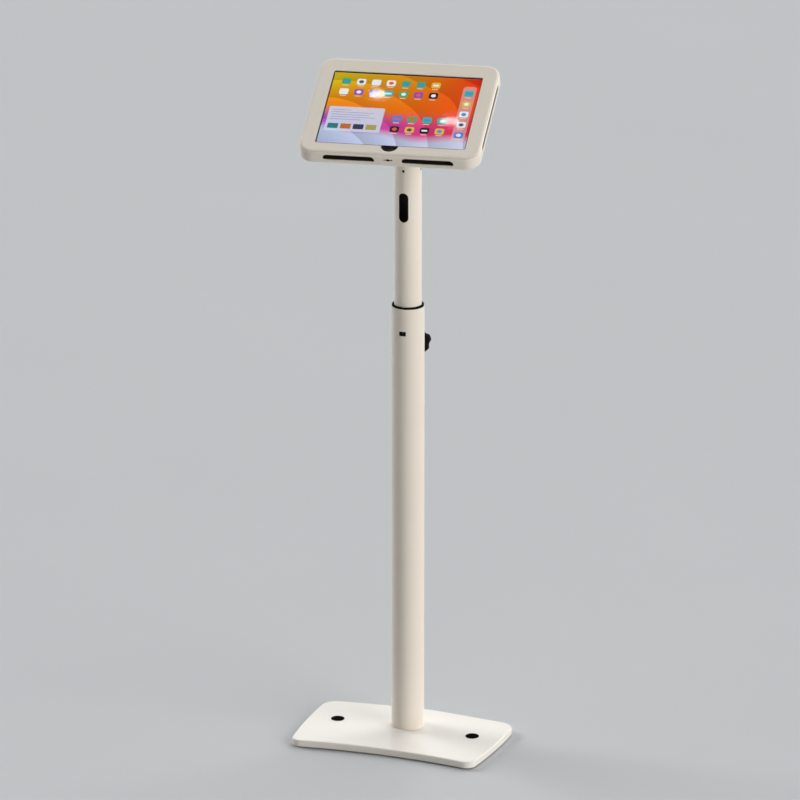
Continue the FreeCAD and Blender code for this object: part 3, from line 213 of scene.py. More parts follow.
def coat_layers(tree, light, deep):
    """Clouded and specked colour of a powder coat, its cloud, and its orange peel."""
    place = object_place(tree)
    cloud = noise(tree, place, 7.0, 3.0)
    speck = noise(tree, place, 420.0, 3.0, 0.6)
    tone = math_node(tree, "ADD", math_node(tree, "MULTIPLY", cloud, 0.7),
                     math_node(tree, "MULTIPLY", speck, 0.3))
    colour = blend_colour(tree, patchy(tree, tone, 0.0, 1.0), light, deep)
    ripple = bump(tree, noise(tree, place, 260.0, 1.0), 0.06, 0.0004)
    peel = bump(tree, noise(tree, place, 1100.0, 2.0), 0.10, 0.0002, ripple)
    return colour, cloud, peel


def powder_coat(name, painted_shade_radius=None, light=CREAM, deep=CREAM_DEEP, roughness=SATIN):
    """Cream powder coat. Tubes are painted near black inside a radius given in millimetres, as painted shade
    in their hollows.
    """
    material, tree, shader = new_finish(name)
    colour, cloud, peel = coat_layers(tree, light, deep)
    rough = patchy(tree, cloud, *roughness)
    # Inside the radius the coat turns near black: painted shade in the tube's hollow
    if painted_shade_radius:
        across, along, _ = split_vector(tree, object_place(tree))
        flat = add(tree, "CombineXYZ", {"X": across, "Y": along}).outputs[0]
        shaded_inside = inside(tree, vector_node(tree, "LENGTH", flat), painted_shade_radius)
        colour = blend_colour(tree, shaded_inside, colour, TUBE_INSIDE_PAINTED_SHADE)
        rough = math_node(tree, "ADD", rough, math_node(tree, "MULTIPLY", shaded_inside, 0.25))
    set_inputs(tree, shader, colour=colour, rough=rough, normal=peel, gloss=0.5)
    return material


def tray_coat(name, wall, rear, front):
    """Powder coat on a sheet part of the enclosure, with its inside painted near black as painted shade.

    The inside lies more than one wall in from the outline and between two levels.
    """
    material, tree, shader = new_finish(name)
    head = head_place(tree)
    colour, cloud, peel = coat_layers(tree, CREAM, CREAM_DEEP)
    height = split_vector(tree, head)[2]
    # Mask of the enclosure's inside, which is painted near black as painted shade
    deep = inside(tree, rounded_box(tree, head, (0, HEAD_MIDDLE), HEAD_HALF, HEAD_CORNER), -wall)
    deep = math_node(tree, "MULTIPLY", deep, math_node(tree, "GREATER_THAN", height, rear * MM))
    deep = math_node(tree, "MULTIPLY", deep, math_node(tree, "LESS_THAN", height, front * MM))
    rough = math_node(tree, "ADD", patchy(tree, cloud, *SATIN), math_node(tree, "MULTIPLY", deep, 0.45))
    set_inputs(tree, shader, colour=blend_colour(tree, deep, colour, ENCLOSURE_INSIDE_PAINTED_SHADE), rough=rough,
               normal=peel, gloss=0.5)
    return material


def moulded_plastic(name, tone, rough_low, rough_high, grain_scale=1600.0, grain=0.25, gloss=0.5):
    """Plastic with a fine spark-eroded grain."""
    material, tree, shader = new_finish(name)
    place = object_place(tree)
    cloud = noise(tree, place, 40.0, 3.0)
    grit = noise(tree, place, grain_scale, 2.0)
    dark = tuple(value * 0.75 for value in tone)
    light = tuple(value * 1.25 for value in tone)
    set_inputs(tree, shader, colour=blend_colour(tree, cloud, dark, light),
               rough=patchy(tree, cloud, rough_low, rough_high),
               normal=bump(tree, grit, grain, 0.0002), gloss=gloss)
    return material


def plated_steel(name, tone, rough_low, rough_high):
    """Plated or blackened steel with fine tool marks and slight clouding."""
    material, tree, shader = new_finish(name)
    place = object_place(tree)
    marks = noise(tree, place, 900.0, 2.0)
    cloud = noise(tree, place, 90.0, 3.0)
    dark = tuple(value * 0.8 for value in tone)
    set_inputs(tree, shader, colour=blend_colour(tree, cloud, dark, tone), metal=1.0,
               rough=patchy(tree, cloud, rough_low, rough_high), normal=bump(tree, marks, 0.12, 0.0001))
    return material


def sheet_rubber(name, tone):
    """Dull rubber sheet with a crumbed surface."""
    material, tree, shader = new_finish(name)
    place = object_place(tree)
    crumb = add(tree, "TexVoronoi", {"Vector": place, "Scale": 500.0}).outputs["Distance"]
    cloud = noise(tree, place, 30.0, 4.0)
    pale = tuple(value * 1.6 for value in tone)
    set_inputs(tree, shader, colour=blend_colour(tree, cloud, tone, pale),
               rough=patchy(tree, cloud, 0.72, 0.9), normal=bump(tree, crumb, 0.3, 0.0004), gloss=0.3)
    return material


def closed_foam(name, tone):
    """Foam strip with small closed cells."""
    material, tree, shader = new_finish(name)
    place = object_place(tree)
    cells = add(tree, "TexVoronoi", {"Vector": place, "Scale": 1400.0}, feature="SMOOTH_F1")
    wall = cells.outputs["Distance"]
    cloud = noise(tree, place, 60.0, 3.0)
    pale = tuple(value * 1.8 for value in tone)
    set_inputs(tree, shader, colour=blend_colour(tree, wall, tone, pale),
               rough=patchy(tree, cloud, 0.85, 0.98), normal=bump(tree, wall, 0.5, 0.0005), gloss=0.2)
    return material


def turned_aluminium(name):
    """Cast aluminium, faced on a lathe about the column's axis."""
    material, tree, shader = new_finish(name)
    place = object_place(tree)
    rings = add(tree, "TexWave", {"Vector": place, "Scale": 260.0, "Distortion": 0.6, "Detail": 2.0},
                wave_type="RINGS", rings_direction="Z").outputs["Color"]
    cloud = noise(tree, place, 120.0, 3.0)
    set_inputs(tree, shader, colour=blend_colour(tree, cloud, (0.50, 0.50, 0.51), (0.64, 0.64, 0.65)),
               metal=1.0, rough=patchy(tree, cloud, 0.32, 0.48), normal=bump(tree, rings, 0.08, 0.0002))
    return material


def tablet_shell(name):
    """Bead-blasted aluminium with a dark border round the screen, lifted to brown as a painted reflection."""
    material, tree, shader = new_finish(name)
    place = head_place(tree)
    grain = noise(tree, place, 1800.0, 2.0)
    cloud = noise(tree, place, 25.0, 3.0)
    metal_colour = blend_colour(tree, cloud, (0.20, 0.20, 0.215), (0.26, 0.26, 0.275))
    border = inside(tree, rounded_box(tree, place, (0, TABLET_MIDDLE), BORDER_HALF, BORDER_CORNER))
    in_front = math_node(tree, "GREATER_THAN", split_vector(tree, place)[2], BORDER_BACK * MM)
    border = math_node(tree, "MULTIPLY", border, in_front)
    set_inputs(tree, shader, colour=blend_colour(tree, border, metal_colour, BORDER_DARK_AND_REFLECTION),
               metal=math_node(tree, "SUBTRACT", 1.0, border), rough=patchy(tree, cloud, 0.38, 0.46),
               normal=bump(tree, grain, 0.10, 0.0001))
    return material


def cover_glass(name):
    """Clear glass with faint wipe marks."""
    material, tree, shader = new_finish(name)
    wipe = add(tree, "Mapping", {"Vector": head_place(tree), "Scale": (14, 90, 14)}).outputs[0]
    marks = noise(tree, wipe, 1.0, 4.0, 0.6)
    set_inputs(tree, shader, colour=(0.97, 0.98, 0.99), clear=1.0, ior=1.46,
               rough=spread(tree, marks, 0.030, 0.038, 0.35, 0.75))
    return material


# Screen picture: soft arcs of warm colour, grids of plain tiles, a pale card and a side rail

TILE_COLOURS = [(0.85, 0.87, 0.90), (0.05, 0.42, 0.16), (0.02, 0.02, 0.025), (0.06, 0.25, 0.75),
                (0.90, 0.90, 0.88), (0.80, 0.50, 0.05), (0.30, 0.08, 0.50), (0.05, 0.45, 0.42)]
MARK_COLOURS = [(0.05, 0.30, 0.75), (0.90, 0.90, 0.92), (0.80, 0.12, 0.06), (0.85, 0.85, 0.88),
                (0.10, 0.10, 0.12)]
NAME_BAR = (0.85, 0.78, 0.72)
CARD = (0.66, 0.72, 0.86)
CARD_LINE = (0.30, 0.35, 0.47)
CARD_LINE_LENGTHS = (17, 38, 34, 40, 28)
CARD_PICTURES = ((0.03, 0.20, 0.24), (0.55, 0.16, 0.04), (0.04, 0.05, 0.10), (0.42, 0.36, 0.10))
RAIL = (0.76, 0.62, 0.62)
TILE_PITCH = (27, 29)

# Lower left corner, count across and up, and seed of each grid of tiles
TILE_GRIDS = (((-122, 18.5), (7, 2), 1.0), ((-14, -79.5), (4, 2), 4.0), ((102.5, -87), (1, 5), 9.0))


def step_colours(tree, value, colours):
    """One flat colour per equal step of a value from 0 to 1."""
    ramp = add(tree, "ValToRGB", {"Fac": value})
    ramp.color_ramp.interpolation = "CONSTANT"
    stops = ramp.color_ramp.elements
    stops[0].position, stops[0].color = 0.0, (*colours[0], 1)
    stops[1].position, stops[1].color = 1 / len(colours), (*colours[1], 1)
    for index, colour in enumerate(colours[2:], start=2):
        stops.new(index / len(colours)).color = (*colour, 1)
    return ramp.outputs[0]


def wallpaper(tree, place):
    """Broad arcs about a far corner, yellow at the top left to red at the right and pale blue below."""
    split = split_vector(tree, place)
    across = spread(tree, split[0], 0.0, 1.0, -0.133, 0.133)
    up = spread(tree, split[1], 0.0, 1.0, -0.1145, 0.0855)
    drift = noise(tree, place, 5.0, 1.0)
    far = vector_node(tree, "DISTANCE", place, Vector((-150, -190, 55)) * MM)
    reach = math_node(tree, "ADD", far, math_node(tree, "MULTIPLY", drift, 0.09))
    fold = math_node(tree, "FRACT", math_node(tree, "MULTIPLY", reach, 17.0))
    top = blend_colour(tree, across, (0.66, 0.50, 0.008), (0.74, 0.010, 0.003))
    middle = blend_colour(tree, across, (0.90, 0.27, 0.006), (0.86, 0.07, 0.005))
    low = blend_colour(tree, across, (0.46, 0.09, 0.58), (0.82, 0.028, 0.06))
    pale = blend_colour(tree, across, (0.50, 0.58, 0.80), (0.60, 0.62, 0.80))
    wander = math_node(tree, "MULTIPLY", math_node(tree, "SUBTRACT", drift, 0.5), 0.7)
    lift = math_node(tree, "SUBTRACT", math_node(tree, "ADD", up, wander),
                     math_node(tree, "MULTIPLY", across, 0.10))
    picture = blend_colour(tree, spread(tree, lift, 0.0, 1.0, 0.45, 0.85), middle, top)
    picture = blend_colour(tree, spread(tree, lift, 0.0, 1.0, 0.26, 0.42), low, picture)
    picture = blend_colour(tree, spread(tree, lift, 0.0, 1.0, 0.12, 0.2), pale, picture)
    shade = spread(tree, fold, 0.78, 1.12)
    grey = add(tree, "CombineColor", {0: shade, 1: shade, 2: shade}).outputs[0]
    return blend_colour(tree, 1.0, picture, grey, "MULTIPLY")


def tile_grid(tree, place, picture, corner, count, seed):
    """Lays a grid of rounded tiles over the picture, each with a plain round or bar mark and a name bar."""
    wide, tall = TILE_PITCH
    moved = vector_node(tree, "SUBTRACT", place, Vector((corner[0], corner[1], 0)) * MM)
    cells = vector_node(tree, "DIVIDE", moved, (wide * MM, tall * MM, 1))
    whole = split_vector(tree, vector_node(tree, "FLOOR", cells))
    local = vector_node(tree, "MULTIPLY", vector_node(tree, "FRACTION", cells), (wide * MM, tall * MM, 0))
    in_grid = 1.0
    for output, number in zip(whole, count):
        above = math_node(tree, "GREATER_THAN", output, -0.5)
        below = math_node(tree, "LESS_THAN", output, number - 0.5)
        in_grid = math_node(tree, "MULTIPLY", in_grid, math_node(tree, "MULTIPLY", above, below))
    key = add(tree, "CombineXYZ", {"X": whole[0], "Y": whole[1], "Z": seed})
    dice = add(tree, "TexWhiteNoise", {"Vector": key.outputs[0]}, noise_dimensions="3D")
    throws = add(tree, "SeparateColor", {"Color": dice.outputs["Color"]}).outputs
    middle = (wide / 2, tall / 2)
    tile = inside(tree, rounded_box(tree, local, middle, (8.2, 8.2), 3.8))
    disc = inside(tree, rounded_box(tree, local, middle, (4.4, 4.4), 4.39))
    bar = inside(tree, rounded_box(tree, local, middle, (5.2, 2.2), 1.2))
    name_bar = inside(tree, rounded_box(tree, local, (middle[0], middle[1] - 11.5), (5.5, 0.8), 0.6))
    pick = math_node(tree, "GREATER_THAN", throws[2], 0.45)
    mark = math_node(tree, "ADD", math_node(tree, "MULTIPLY", disc, pick),
                     math_node(tree, "MULTIPLY", bar, math_node(tree, "SUBTRACT", 1.0, pick)))
    face = step_colours(tree, throws[0], TILE_COLOURS)
    face = blend_colour(tree, mark, face, step_colours(tree, throws[1], MARK_COLOURS))
    picture = blend_colour(tree, math_node(tree, "MULTIPLY", tile, in_grid), picture, face)
    return blend_colour(tree, math_node(tree, "MULTIPLY", name_bar, in_grid), picture, NAME_BAR)


def panel(tree, place, picture, centre, half, radius, colour, share):
    """Lays one rounded panel of a colour over the picture."""
    cover = math_node(tree, "MULTIPLY", inside(tree, rounded_box(tree, place, centre, half, radius)), share)
    return blend_colour(tree, cover, picture, colour)


def lit_screen(name):
    """Glowing display with its picture, and a dark border where nothing is lit."""
    material, tree, shader = new_finish(name)
    place = head_place(tree)
    picture = wallpaper(tree, place)
    picture = panel(tree, place, picture, (-76, -43.5), (50, 34), 4, CARD, 0.85)
    for row, length in enumerate(CARD_LINE_LENGTHS):
        picture = panel(tree, place, picture, (-120 + length, -18.5 - row * 6.5), (length, 0.9), 0.8,
                        CARD_LINE, 0.8)
    for column, colour in enumerate(CARD_PICTURES):
        picture = panel(tree, place, picture, (-112 + column * 23, -63.5), (9.5, 7), 1.5, colour, 1.0)
    picture = panel(tree, place, picture, (116, -14.5), (12, 78), 7, RAIL, 0.40)
    for corner, count, seed in TILE_GRIDS:
        picture = tile_grid(tree, place, picture, corner, count, seed)
    shown = inside(tree, rounded_box(tree, place, (0, SCREEN_MIDDLE), SCREEN_HALF, SCREEN_CORNER))
    picture = blend_colour(tree, shown, (0.0, 0.0, 0.0), picture)
    # Outside the lit area the display is dark, lifted to brown as a painted reflection
    colour = blend_colour(tree, shown, (0.035, 0.022, 0.020), (0.004, 0.004, 0.005))
    set_inputs(tree, shader, colour=colour, rough=0.5, gloss=0.05, glow=picture, glow_strength=1.0)
    return material


# Each finish, with the solids of the stand that keep their own shape and wear it
finishes = {
    "cream_powder_coat_lower_tube": (
        powder_coat("cream_powder_coat_lower_tube", LOWER_TUBE_SHADE_RADIUS), ["lower_tube"]),
    "cream_powder_coat_upper_tube": (
        powder_coat("cream_powder_coat_upper_tube", UPPER_TUBE_SHADE_RADIUS), ["upper_tube"]),
    "cream_powder_coat": (
        powder_coat("cream_powder_coat"), ["clamp_boss", "swivel_yoke", "tilt_bracket"]),
    # The base plate wears a lighter copy of the cream coat, as painted light
    "plate_coat_painted_light": (
        powder_coat("plate_coat_painted_light", None, PLATE_CREAM_PAINTED_LIGHT, PLATE_CREAM_DEEP_PAINTED_LIGHT, PLATE_GLOSS), ["base_plate"]),
    "frame_coat": (
        tray_coat("frame_coat", 1.7, 0, FRAME_INSIDE + 0.3), ["front_frame"]),
    "panel_coat": (
        tray_coat("panel_coat", 0, PANEL_BACK + 1.3, FRAME_INSIDE), ["back_panel"]),
    "black_plastic": (
        moulded_plastic("black_plastic", (0.0065, 0.0065, 0.006), 0.68, 0.80, gloss=0.05),
        ["guide_bush", "slide_bush", "clamp_knob"]),
    "plug_plastic": (
        moulded_plastic("plug_plastic", (0.0060, 0.0058, 0.0056), 0.80, 0.90, gloss=0.0),
        ["floor_plug_left", "floor_plug_right"]),
    "nylon": (
        moulded_plastic("natural_nylon", (0.60, 0.59, 0.53), 0.4, 0.5, 900.0, 0.1),
        ["clamp_pad", "swivel_washer", "tilt_washers"]),
    "zinc_plate": (
        plated_steel("zinc_plate", (0.62, 0.62, 0.60), 0.26, 0.40),
        ["foot_insert", "column_screws", "clamp_stud", "swivel_bolt", "swivel_lock_washer", "swivel_nut",
         "tilt_bolt", "tilt_nut", "tilt_spacer", "clinch_nuts", "bracket_screws", "frame_screws"]),
    "black_oxide": (
        plated_steel("black_oxide", (0.010, 0.010, 0.011), 0.5, 0.62), ["neck_screws", "lock_screw"]),
    "cast_aluminium": (
        turned_aluminium("cast_aluminium"), ["neck_insert"]),
    "mat_rubber": (
        sheet_rubber("mat_rubber", (0.022, 0.022, 0.023)), ["base_mat"]),
    "black_foam": (
        closed_foam("black_foam", (0.016, 0.016, 0.017)),
        ["window_seal", "corner_pad_lower_left", "corner_pad_lower_right", "corner_pad_upper_left",
         "corner_pad_upper_right"]),
    "tablet_shell": (tablet_shell("tablet_shell"), ["tablet_case"]),
    "lit_screen": (lit_screen("lit_screen"), ["tablet_display"]),
    "cover_glass": (cover_glass("cover_glass"), ["tablet_glass"]),
}


def finish_part(name, material):
    """Gives one finish to a solid of the stand."""
    slots = parts[name].material_slots
    for item in slots:
        item.material = material
    if not slots:
        parts[name].data.materials.append(material)


for material, names in finishes.values():
    for name in names:
        finish_part(name, material)


# Pieces modelled here

def finished_piece(name, mesh_maker, finish, body, slot, replaced):
    """Turns a bmesh into a piece that rides on a body and may stand for solids of the stand."""
    made = bmesh.new()
    mesh_maker(made)
    bmesh.ops.recalc_face_normals(made, faces=made.faces)
    mesh = bpy.data.meshes.new(name)
    made.to_mesh(mesh)
    made.free()
    mesh.materials.append(finishes[finish][0])
    for face in mesh.polygons:
        face.use_smooth = True
    mesh.set_sharp_from_angle(angle=math.radians(28))
    piece = bpy.data.objects.new(name, mesh)
    bpy.context.scene.collection.objects.link(piece)
    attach(piece, body)
    if replaced:
        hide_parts(*replaced)


def vertices_of(geometry):
    return [item for item in geometry if isinstance(item, bmesh.types.BMVert)]


def glass_sheet(made):
    """Cover glass with rounded corners and a softened front edge."""
    square = bmesh.ops.create_grid(made, x_segments=1, y_segments=1, size=1.0)["verts"]
    bmesh.ops.scale(made, vec=(GLASS_HALF[0] * MM, GLASS_HALF[1] * MM, 1), verts=square)
    bmesh.ops.bevel(made, geom=square, offset=GLASS_CORNER * MM, offset_type="OFFSET", affect="VERTICES",
                    segments=12, profile=0.5, material=-1)
    top = (GLASS_FRONT - GLASS_BACK) * MM
    raised = bmesh.ops.extrude_face_region(made, geom=list(made.faces))
    bmesh.ops.translate(made, vec=(0, 0, top), verts=vertices_of(raised["geom"]))
    rim = [edge for edge in made.edges if all(abs(vert.co.z - top) < 1e-7 for vert in edge.verts)
           and len(edge.link_faces) == 2]
    bmesh.ops.bevel(made, geom=rim, offset=0.25 * MM, affect="EDGES", segments=3, profile=0.5, material=-1)
    flats = [face for face in made.faces if len(face.verts) > 20]
    bmesh.ops.inset_individual(made, faces=flats, thickness=0.4 * MM)
    bmesh.ops.translate(made, vec=(0, TABLET_MIDDLE * MM, GLASS_BACK * MM), verts=made.verts)
    bmesh.ops.transform(made, matrix=head_frame, verts=made.verts)


def spun(made, profile, steps=48):
    """Turns (radius, height) points in millimetres about Z, and returns the turned vertices."""
    first = set(made.verts)
    corners = [made.verts.new((radius * MM, 0, height * MM)) for radius, height in profile]
    edges = [made.edges.new(pair) for pair in zip(corners, corners[1:])]
    bmesh.ops.spin(made, geom=corners + edges, cent=(0, 0, 0), axis=(0, 0, 1), dvec=(0, 0, 0),
                   angle=math.tau, steps=steps, use_merge=True, use_duplicate=False)
    fresh = [vert for vert in made.verts if vert not in first]
    bmesh.ops.remove_doubles(made, verts=fresh, dist=1e-7)
    return [vert for vert in made.verts if vert not in first]


def axis_distance(vert):
    return math.hypot(vert.co.x, vert.co.y)


def hexagon_reach(vert, flats):
    """Distance in metres from the middle of a hexagon to its side, towards a vertex."""
    heading = math.atan2(vert.co.y, vert.co.x) % (math.pi / 3)
    return flats / 2 * MM / math.cos(heading - math.pi / 6)


def draw_in(vert, radius):
    """Brings a vertex to a radius about Z and keeps its direction."""
    share = radius / axis_distance(vert)
    vert.co.x *= share
    vert.co.y *= share


def hexagon(made, flats, low, high, bore=0.0):
    """Hexagon turned off at 30 degrees at both ends, as nuts and bolt heads are."""
    corner = flats / math.sqrt(3)
    start = flats / 2 * 0.95
    slope = math.tan(math.radians(30))
    profile = [(bore, low), (start, low), (corner, low + 1), (corner, high - 1), (start, high), (bore, high)]
    if bore:
        profile.append((bore, low))
    for vert in spun(made, profile, 60):
        if axis_distance(vert) > (start + 0.01) * MM:
            reach = hexagon_reach(vert, flats)
            fall = (reach - start * MM) * slope
            vert.co.z = high * MM - fall if vert.co.z > (low + high) / 2 * MM else low * MM + fall
            draw_in(vert, reach)


def socket(made, flats, top, depth):
    """Closes a screw head's open middle with a hexagon socket."""
    rim = [edge for edge in made.edges if edge.is_boundary
           and all(abs(vert.co.z - top * MM) < 1e-6 for vert in edge.verts)]
    for vert in {vert for edge in rim for vert in edge.verts}:
        draw_in(vert, hexagon_reach(vert, flats))
    sunk = bmesh.ops.extrude_edge_only(made, edges=rim)["geom"]
    foot = vertices_of(sunk)
    bmesh.ops.translate(made, vec=(0, 0, -depth * MM), verts=foot)
    ring = [item for item in sunk if isinstance(item, bmesh.types.BMEdge)
            and all(vert in foot for vert in item.verts)]
    bmesh.ops.edgeloop_fill(made, edges=ring)


def button_screw(diameter, length, key):
    """Domed screw with its bearing face at height 0 and its head upwards."""
    made = bmesh.new()
    head, crown = diameter * 0.95, diameter * 0.55
    half = diameter / 2
    spun(made, [
        (key / 2, crown), (head * 0.62, crown * 0.97), (head * 0.80, crown * 0.80),
        (head * 0.93, crown * 0.55), (head, crown * 0.30), (head, 0.2), (head - 0.2, 0), (half, 0),
        (half, 0.5 - length), (half - 0.5, -length), (0, -length)])
    socket(made, key, crown, crown * 0.6)
    return made


def flat_screw(half, low, high, key):
    """Headless or flat-topped screw along Z, of a given half width."""
    made = bmesh.new()
    spun(made, [(key / 2, high), (half - 0.35, high), (half, high - 0.35), (half, low + 0.5),
                (half - 0.5, low), (0, low)])
    socket(made, key, high, 1.8)
    return made


def thread(radius, low, high, pitch):
    """Profile of thread crests and roots up a rod, the rod's end broken to the root."""
    root = radius - pitch * 0.54
    points = [(root, low)]
    level = low + pitch * 0.5
    while level < high - pitch * 0.4:
        points += [(radius, level - pitch * 0.08), (radius, level + pitch * 0.08),
                   (root, level + pitch * 0.5)]
        level += pitch
    return points + [(root, high)]


def place_copies(made, shape, places):
    """Adds a copy of one shape at each place."""
    for place in places:
        mesh = bpy.data.meshes.new("copy")
        copy = shape.copy()
        copy.transform(place)
        copy.to_mesh(mesh)
        copy.free()
        made.from_mesh(mesh)
        bpy.data.meshes.remove(mesh)
    shape.free()


def shift(x, y, z):
    return Matrix.Translation(Vector((x, y, z)) * MM)


def turn(degrees, axis):
    return Matrix.Rotation(math.radians(degrees), 4, axis)


hinge_frame = Matrix.Translation(HINGE) @ Matrix.Rotation(SWIVEL, 4, "Z") @ turn(90, "Y")
clamp_frame = shift(0, 0, CLAMP_HEIGHT) @ turn(-90, "X")
CORNERS = ((-1, -1), (1, -1), (1, 1), (-1, 1))


def corner_places(half, middle, level):
    """Places of four screws on the head that are driven from behind."""
    return [head_frame @ shift(half[0] * x, middle + half[1] * y, level) @ turn(180, "X")
            for x, y in CORNERS]


def bracket_screws(made):
    place_copies(made, button_screw(5, 8.5, 3), corner_places(BRACKET_SCREW_HALF, 0, BRACKET_FACE))


def frame_screws(made):
    place_copies(made, button_screw(4, 10, 2.5), corner_places(FRAME_SCREW_HALF, HEAD_MIDDLE, PANEL_BACK))


def lock_screw(made):
    """Screw head in the enclosure's lower wall, on its shank."""
    place = head_frame @ shift(0, -LOCK_DOWN, LOCK_LEVEL) @ turn(90, "X")
    place_copies(made, flat_screw(2.7, 0, 2, 2.5), [place])
    shank = bmesh.new()
    spun(shank, [(0, 0.5), (2, 0.5), (2, -8), (0, -8)])
    place_copies(made, shank, [place])


def neck_screws(made):
    """Headless screws that hold the neck insert in the upper tube."""
    places = [shift(0, 0, TUBE_TOP - NECK_SCREW_DROP) @ turn(90 * step, "Z") @ turn(90, "X")
              for step in range(4)]
    place_copies(made, flat_screw(2.5, 16.4, 24.4, 2.5), places)


def tilt_bolt(made):
    shape = bmesh.new()
    hexagon(shape, 16, -33.4, -27)
    spun(shape, [(0, -28), (5, -28), (5, 34)] + thread(5, 34, 37.5, 1.5) + [(0, 37.5)])
    place_copies(made, shape, [hinge_frame])


def tilt_nut(made):
    """Lock nut with a rolled collar at its outer end."""
    shape = bmesh.new()
    hexagon(shape, 16, 27, 34.2, 5.05)
    spun(shape, [(5.3, 34), (7.3, 34), (7.3, 35), (7.0, 35.7), (6.4, 36), (5.6, 36), (5.3, 35.8), (5.3, 34)])
    place_copies(made, shape, [hinge_frame])


def swivel_bolt(made):
    hexagon(made, 18, 1105, 1112.5)
    spun(made, [(0, 1111), (6, 1111), (6, 1137)] + thread(6, 1137, 1141, 1.75) + [(0, 1141)])


def swivel_nut(made):
    hexagon(made, 18, 1133, 1139.5, 6.05)


def clamp_stud(made):
    shape = bmesh.new()
    spun(shape, [(0, 28.7), (3.2, 28.7)] + thread(4, 29.5, 62.5, 1.25) + [(0, 63)])
    place_copies(made, shape, [clamp_frame])


def boss_weld(made):
    """Bead that follows the boss round the tube, with the slight waves of a hand weld."""
    bead = spun(made, [(9.7, -1.2), (9.7, 1.9), (10.6, 1.7), (11.6, 1.1), (12.2, 0.3), (12.4, -0.5),
                       (12.2, -1.2), (9.7, -1.2)], 144)
    for vert in bead:
        wave = 0.12 * MM * math.sin(36 * math.atan2(vert.co.y, vert.co.x))
        draw_in(vert, axis_distance(vert) + wave)
        vert.co.z += math.sqrt((LOWER_TUBE_RADIUS * MM) ** 2 - vert.co.x ** 2)
    bmesh.ops.transform(made, matrix=clamp_frame, verts=made.verts)


CAP_CROWN = 0.6
CAP_PROFILE = [(0, 2.3), (5, 2.2), (9, 1.85), (11.3, 1.3), (12.2, 0.8), (12.4, 0.3), (12.25, 0.02),
               (11.45, 0.02), (11.45, -4.9), (9.6, -4.9), (9.6, -0.4), (0, -0.4)]


def floor_cap(plug):
    """Domed cap over a floor bolt hole, with its skirt down in the seat and its flange on the plate."""
    low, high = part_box(plug)
    middle = [(low[axis] + high[axis]) / 2 / MM for axis in (0, 1)]
    seat = shift(*middle, high[2] / MM - CAP_CROWN)

    def cap(made):
        spun(made, CAP_PROFILE)
        bmesh.ops.transform(made, matrix=seat, verts=made.verts)

    return cap


KNOB_RADIUS = 22
KNOB_LOBES = 5
KNOB_PROFILE = [
    (0, 60), (4, 60), (4, 42), (8.2, 42), (9.3, 42.8), (9.6, 46), (10.2, 49), (12, 51), (16, 51.6),
    (19.2, 52.2), (21.2, 53.6), (22, 55.8), (22, 63.0), (21.3, 65.4), (19.4, 67.1), (16.5, 67.8),
    (11.2, 68), (10.6, 67.4), (10.0, 67.4), (9.6, 67.9), (5, 68), (0, 68)]
SCALLOP_RADIUS = 15
SCALLOP_DISTANCE = 33.5
SCALLOP_BLEND = 1.6


def scallop_reach(angle):
    """Radius in millimetres of the knob's outline: a disc with scallops, blended softly."""
    step = math.tau / KNOB_LOBES
    swing = (angle - math.radians(14) + step / 2) % step - step / 2
    chord = SCALLOP_RADIUS ** 2 - (SCALLOP_DISTANCE * math.sin(swing)) ** 2
    dip = SCALLOP_DISTANCE * math.cos(swing) - math.sqrt(chord) if chord > 0 else SCALLOP_DISTANCE
    blended = math.exp(-SCALLOP_BLEND * KNOB_RADIUS) + math.exp(-SCALLOP_BLEND * dip)
    return min(KNOB_RADIUS, -math.log(blended) / SCALLOP_BLEND)


def star_knob(made):
    """Moulded star knob with full lobes, a tapered hub and a pressed-in cap."""
    for vert in spun(made, KNOB_PROFILE, 160):
        radius = axis_distance(vert) / MM
        if radius > 12.5:
            share = min((radius - 12.5) / 7, 1)
            cut = KNOB_RADIUS - scallop_reach(math.atan2(vert.co.y, vert.co.x))
            draw_in(vert, (radius - cut * share * share * (3 - 2 * share)) * MM)
    bmesh.ops.transform(made, matrix=clamp_frame, verts=made.verts)


# Name, maker, finish, body, slot and replaced solids of each piece
PIECES = [
    ("screen_glass", glass_sheet, "cover_glass", "head", "cover_glass", ["tablet_glass"]),
    ("bracket_button_screws", bracket_screws, "zinc_plate", "head", "zinc_steel", ["bracket_screws"]),
    ("frame_button_screws", frame_screws, "zinc_plate", "head", "zinc_steel", ["frame_screws"]),
    ("lock_slot_screw", lock_screw, "black_oxide", "head", "black_steel", ["lock_screw"]),
    ("neck_socket_screws", neck_screws, "black_oxide", "upper_column", "black_steel", ["neck_screws"]),
    ("tilt_hinge_bolt", tilt_bolt, "zinc_plate", "yoke", "zinc_steel", ["tilt_bolt"]),
    ("tilt_lock_nut", tilt_nut, "zinc_plate", "yoke", "zinc_steel", ["tilt_nut"]),
    ("swivel_hex_bolt", swivel_bolt, "zinc_plate", "upper_column", "zinc_steel", ["swivel_bolt"]),
    ("swivel_hex_nut", swivel_nut, "zinc_plate", "upper_column", "zinc_steel", ["swivel_nut"]),
    ("threaded_stud", clamp_stud, "zinc_plate", "clamp_handle", "zinc_steel", ["clamp_stud"]),
    ("star_knob", star_knob, "black_plastic", "clamp_handle", "black_plastic", ["clamp_knob"]),
    ("boss_weld", boss_weld, "cream_powder_coat", "base", "white_powder_coat", []),
    ("left_floor_cap", floor_cap("floor_plug_left"), "plug_plastic", "base", "black_plastic",
     ["floor_plug_left"]),
    ("right_floor_cap", floor_cap("floor_plug_right"), "plug_plastic", "base", "black_plastic",
     ["floor_plug_right"]),
]
for piece in PIECES:
    finished_piece(*piece)


# Studio

def seen_rays(tree):
    """1 for rays that show a surface to the camera, straight or in a mirror or glass, or else 0."""
    ray = add(tree, "LightPath").outputs
    return math_node(tree, "MAXIMUM", ray["Is Camera Ray"],
                     math_node(tree, "MAXIMUM", ray["Is Glossy Ray"], ray["Is Transmission Ray"]))


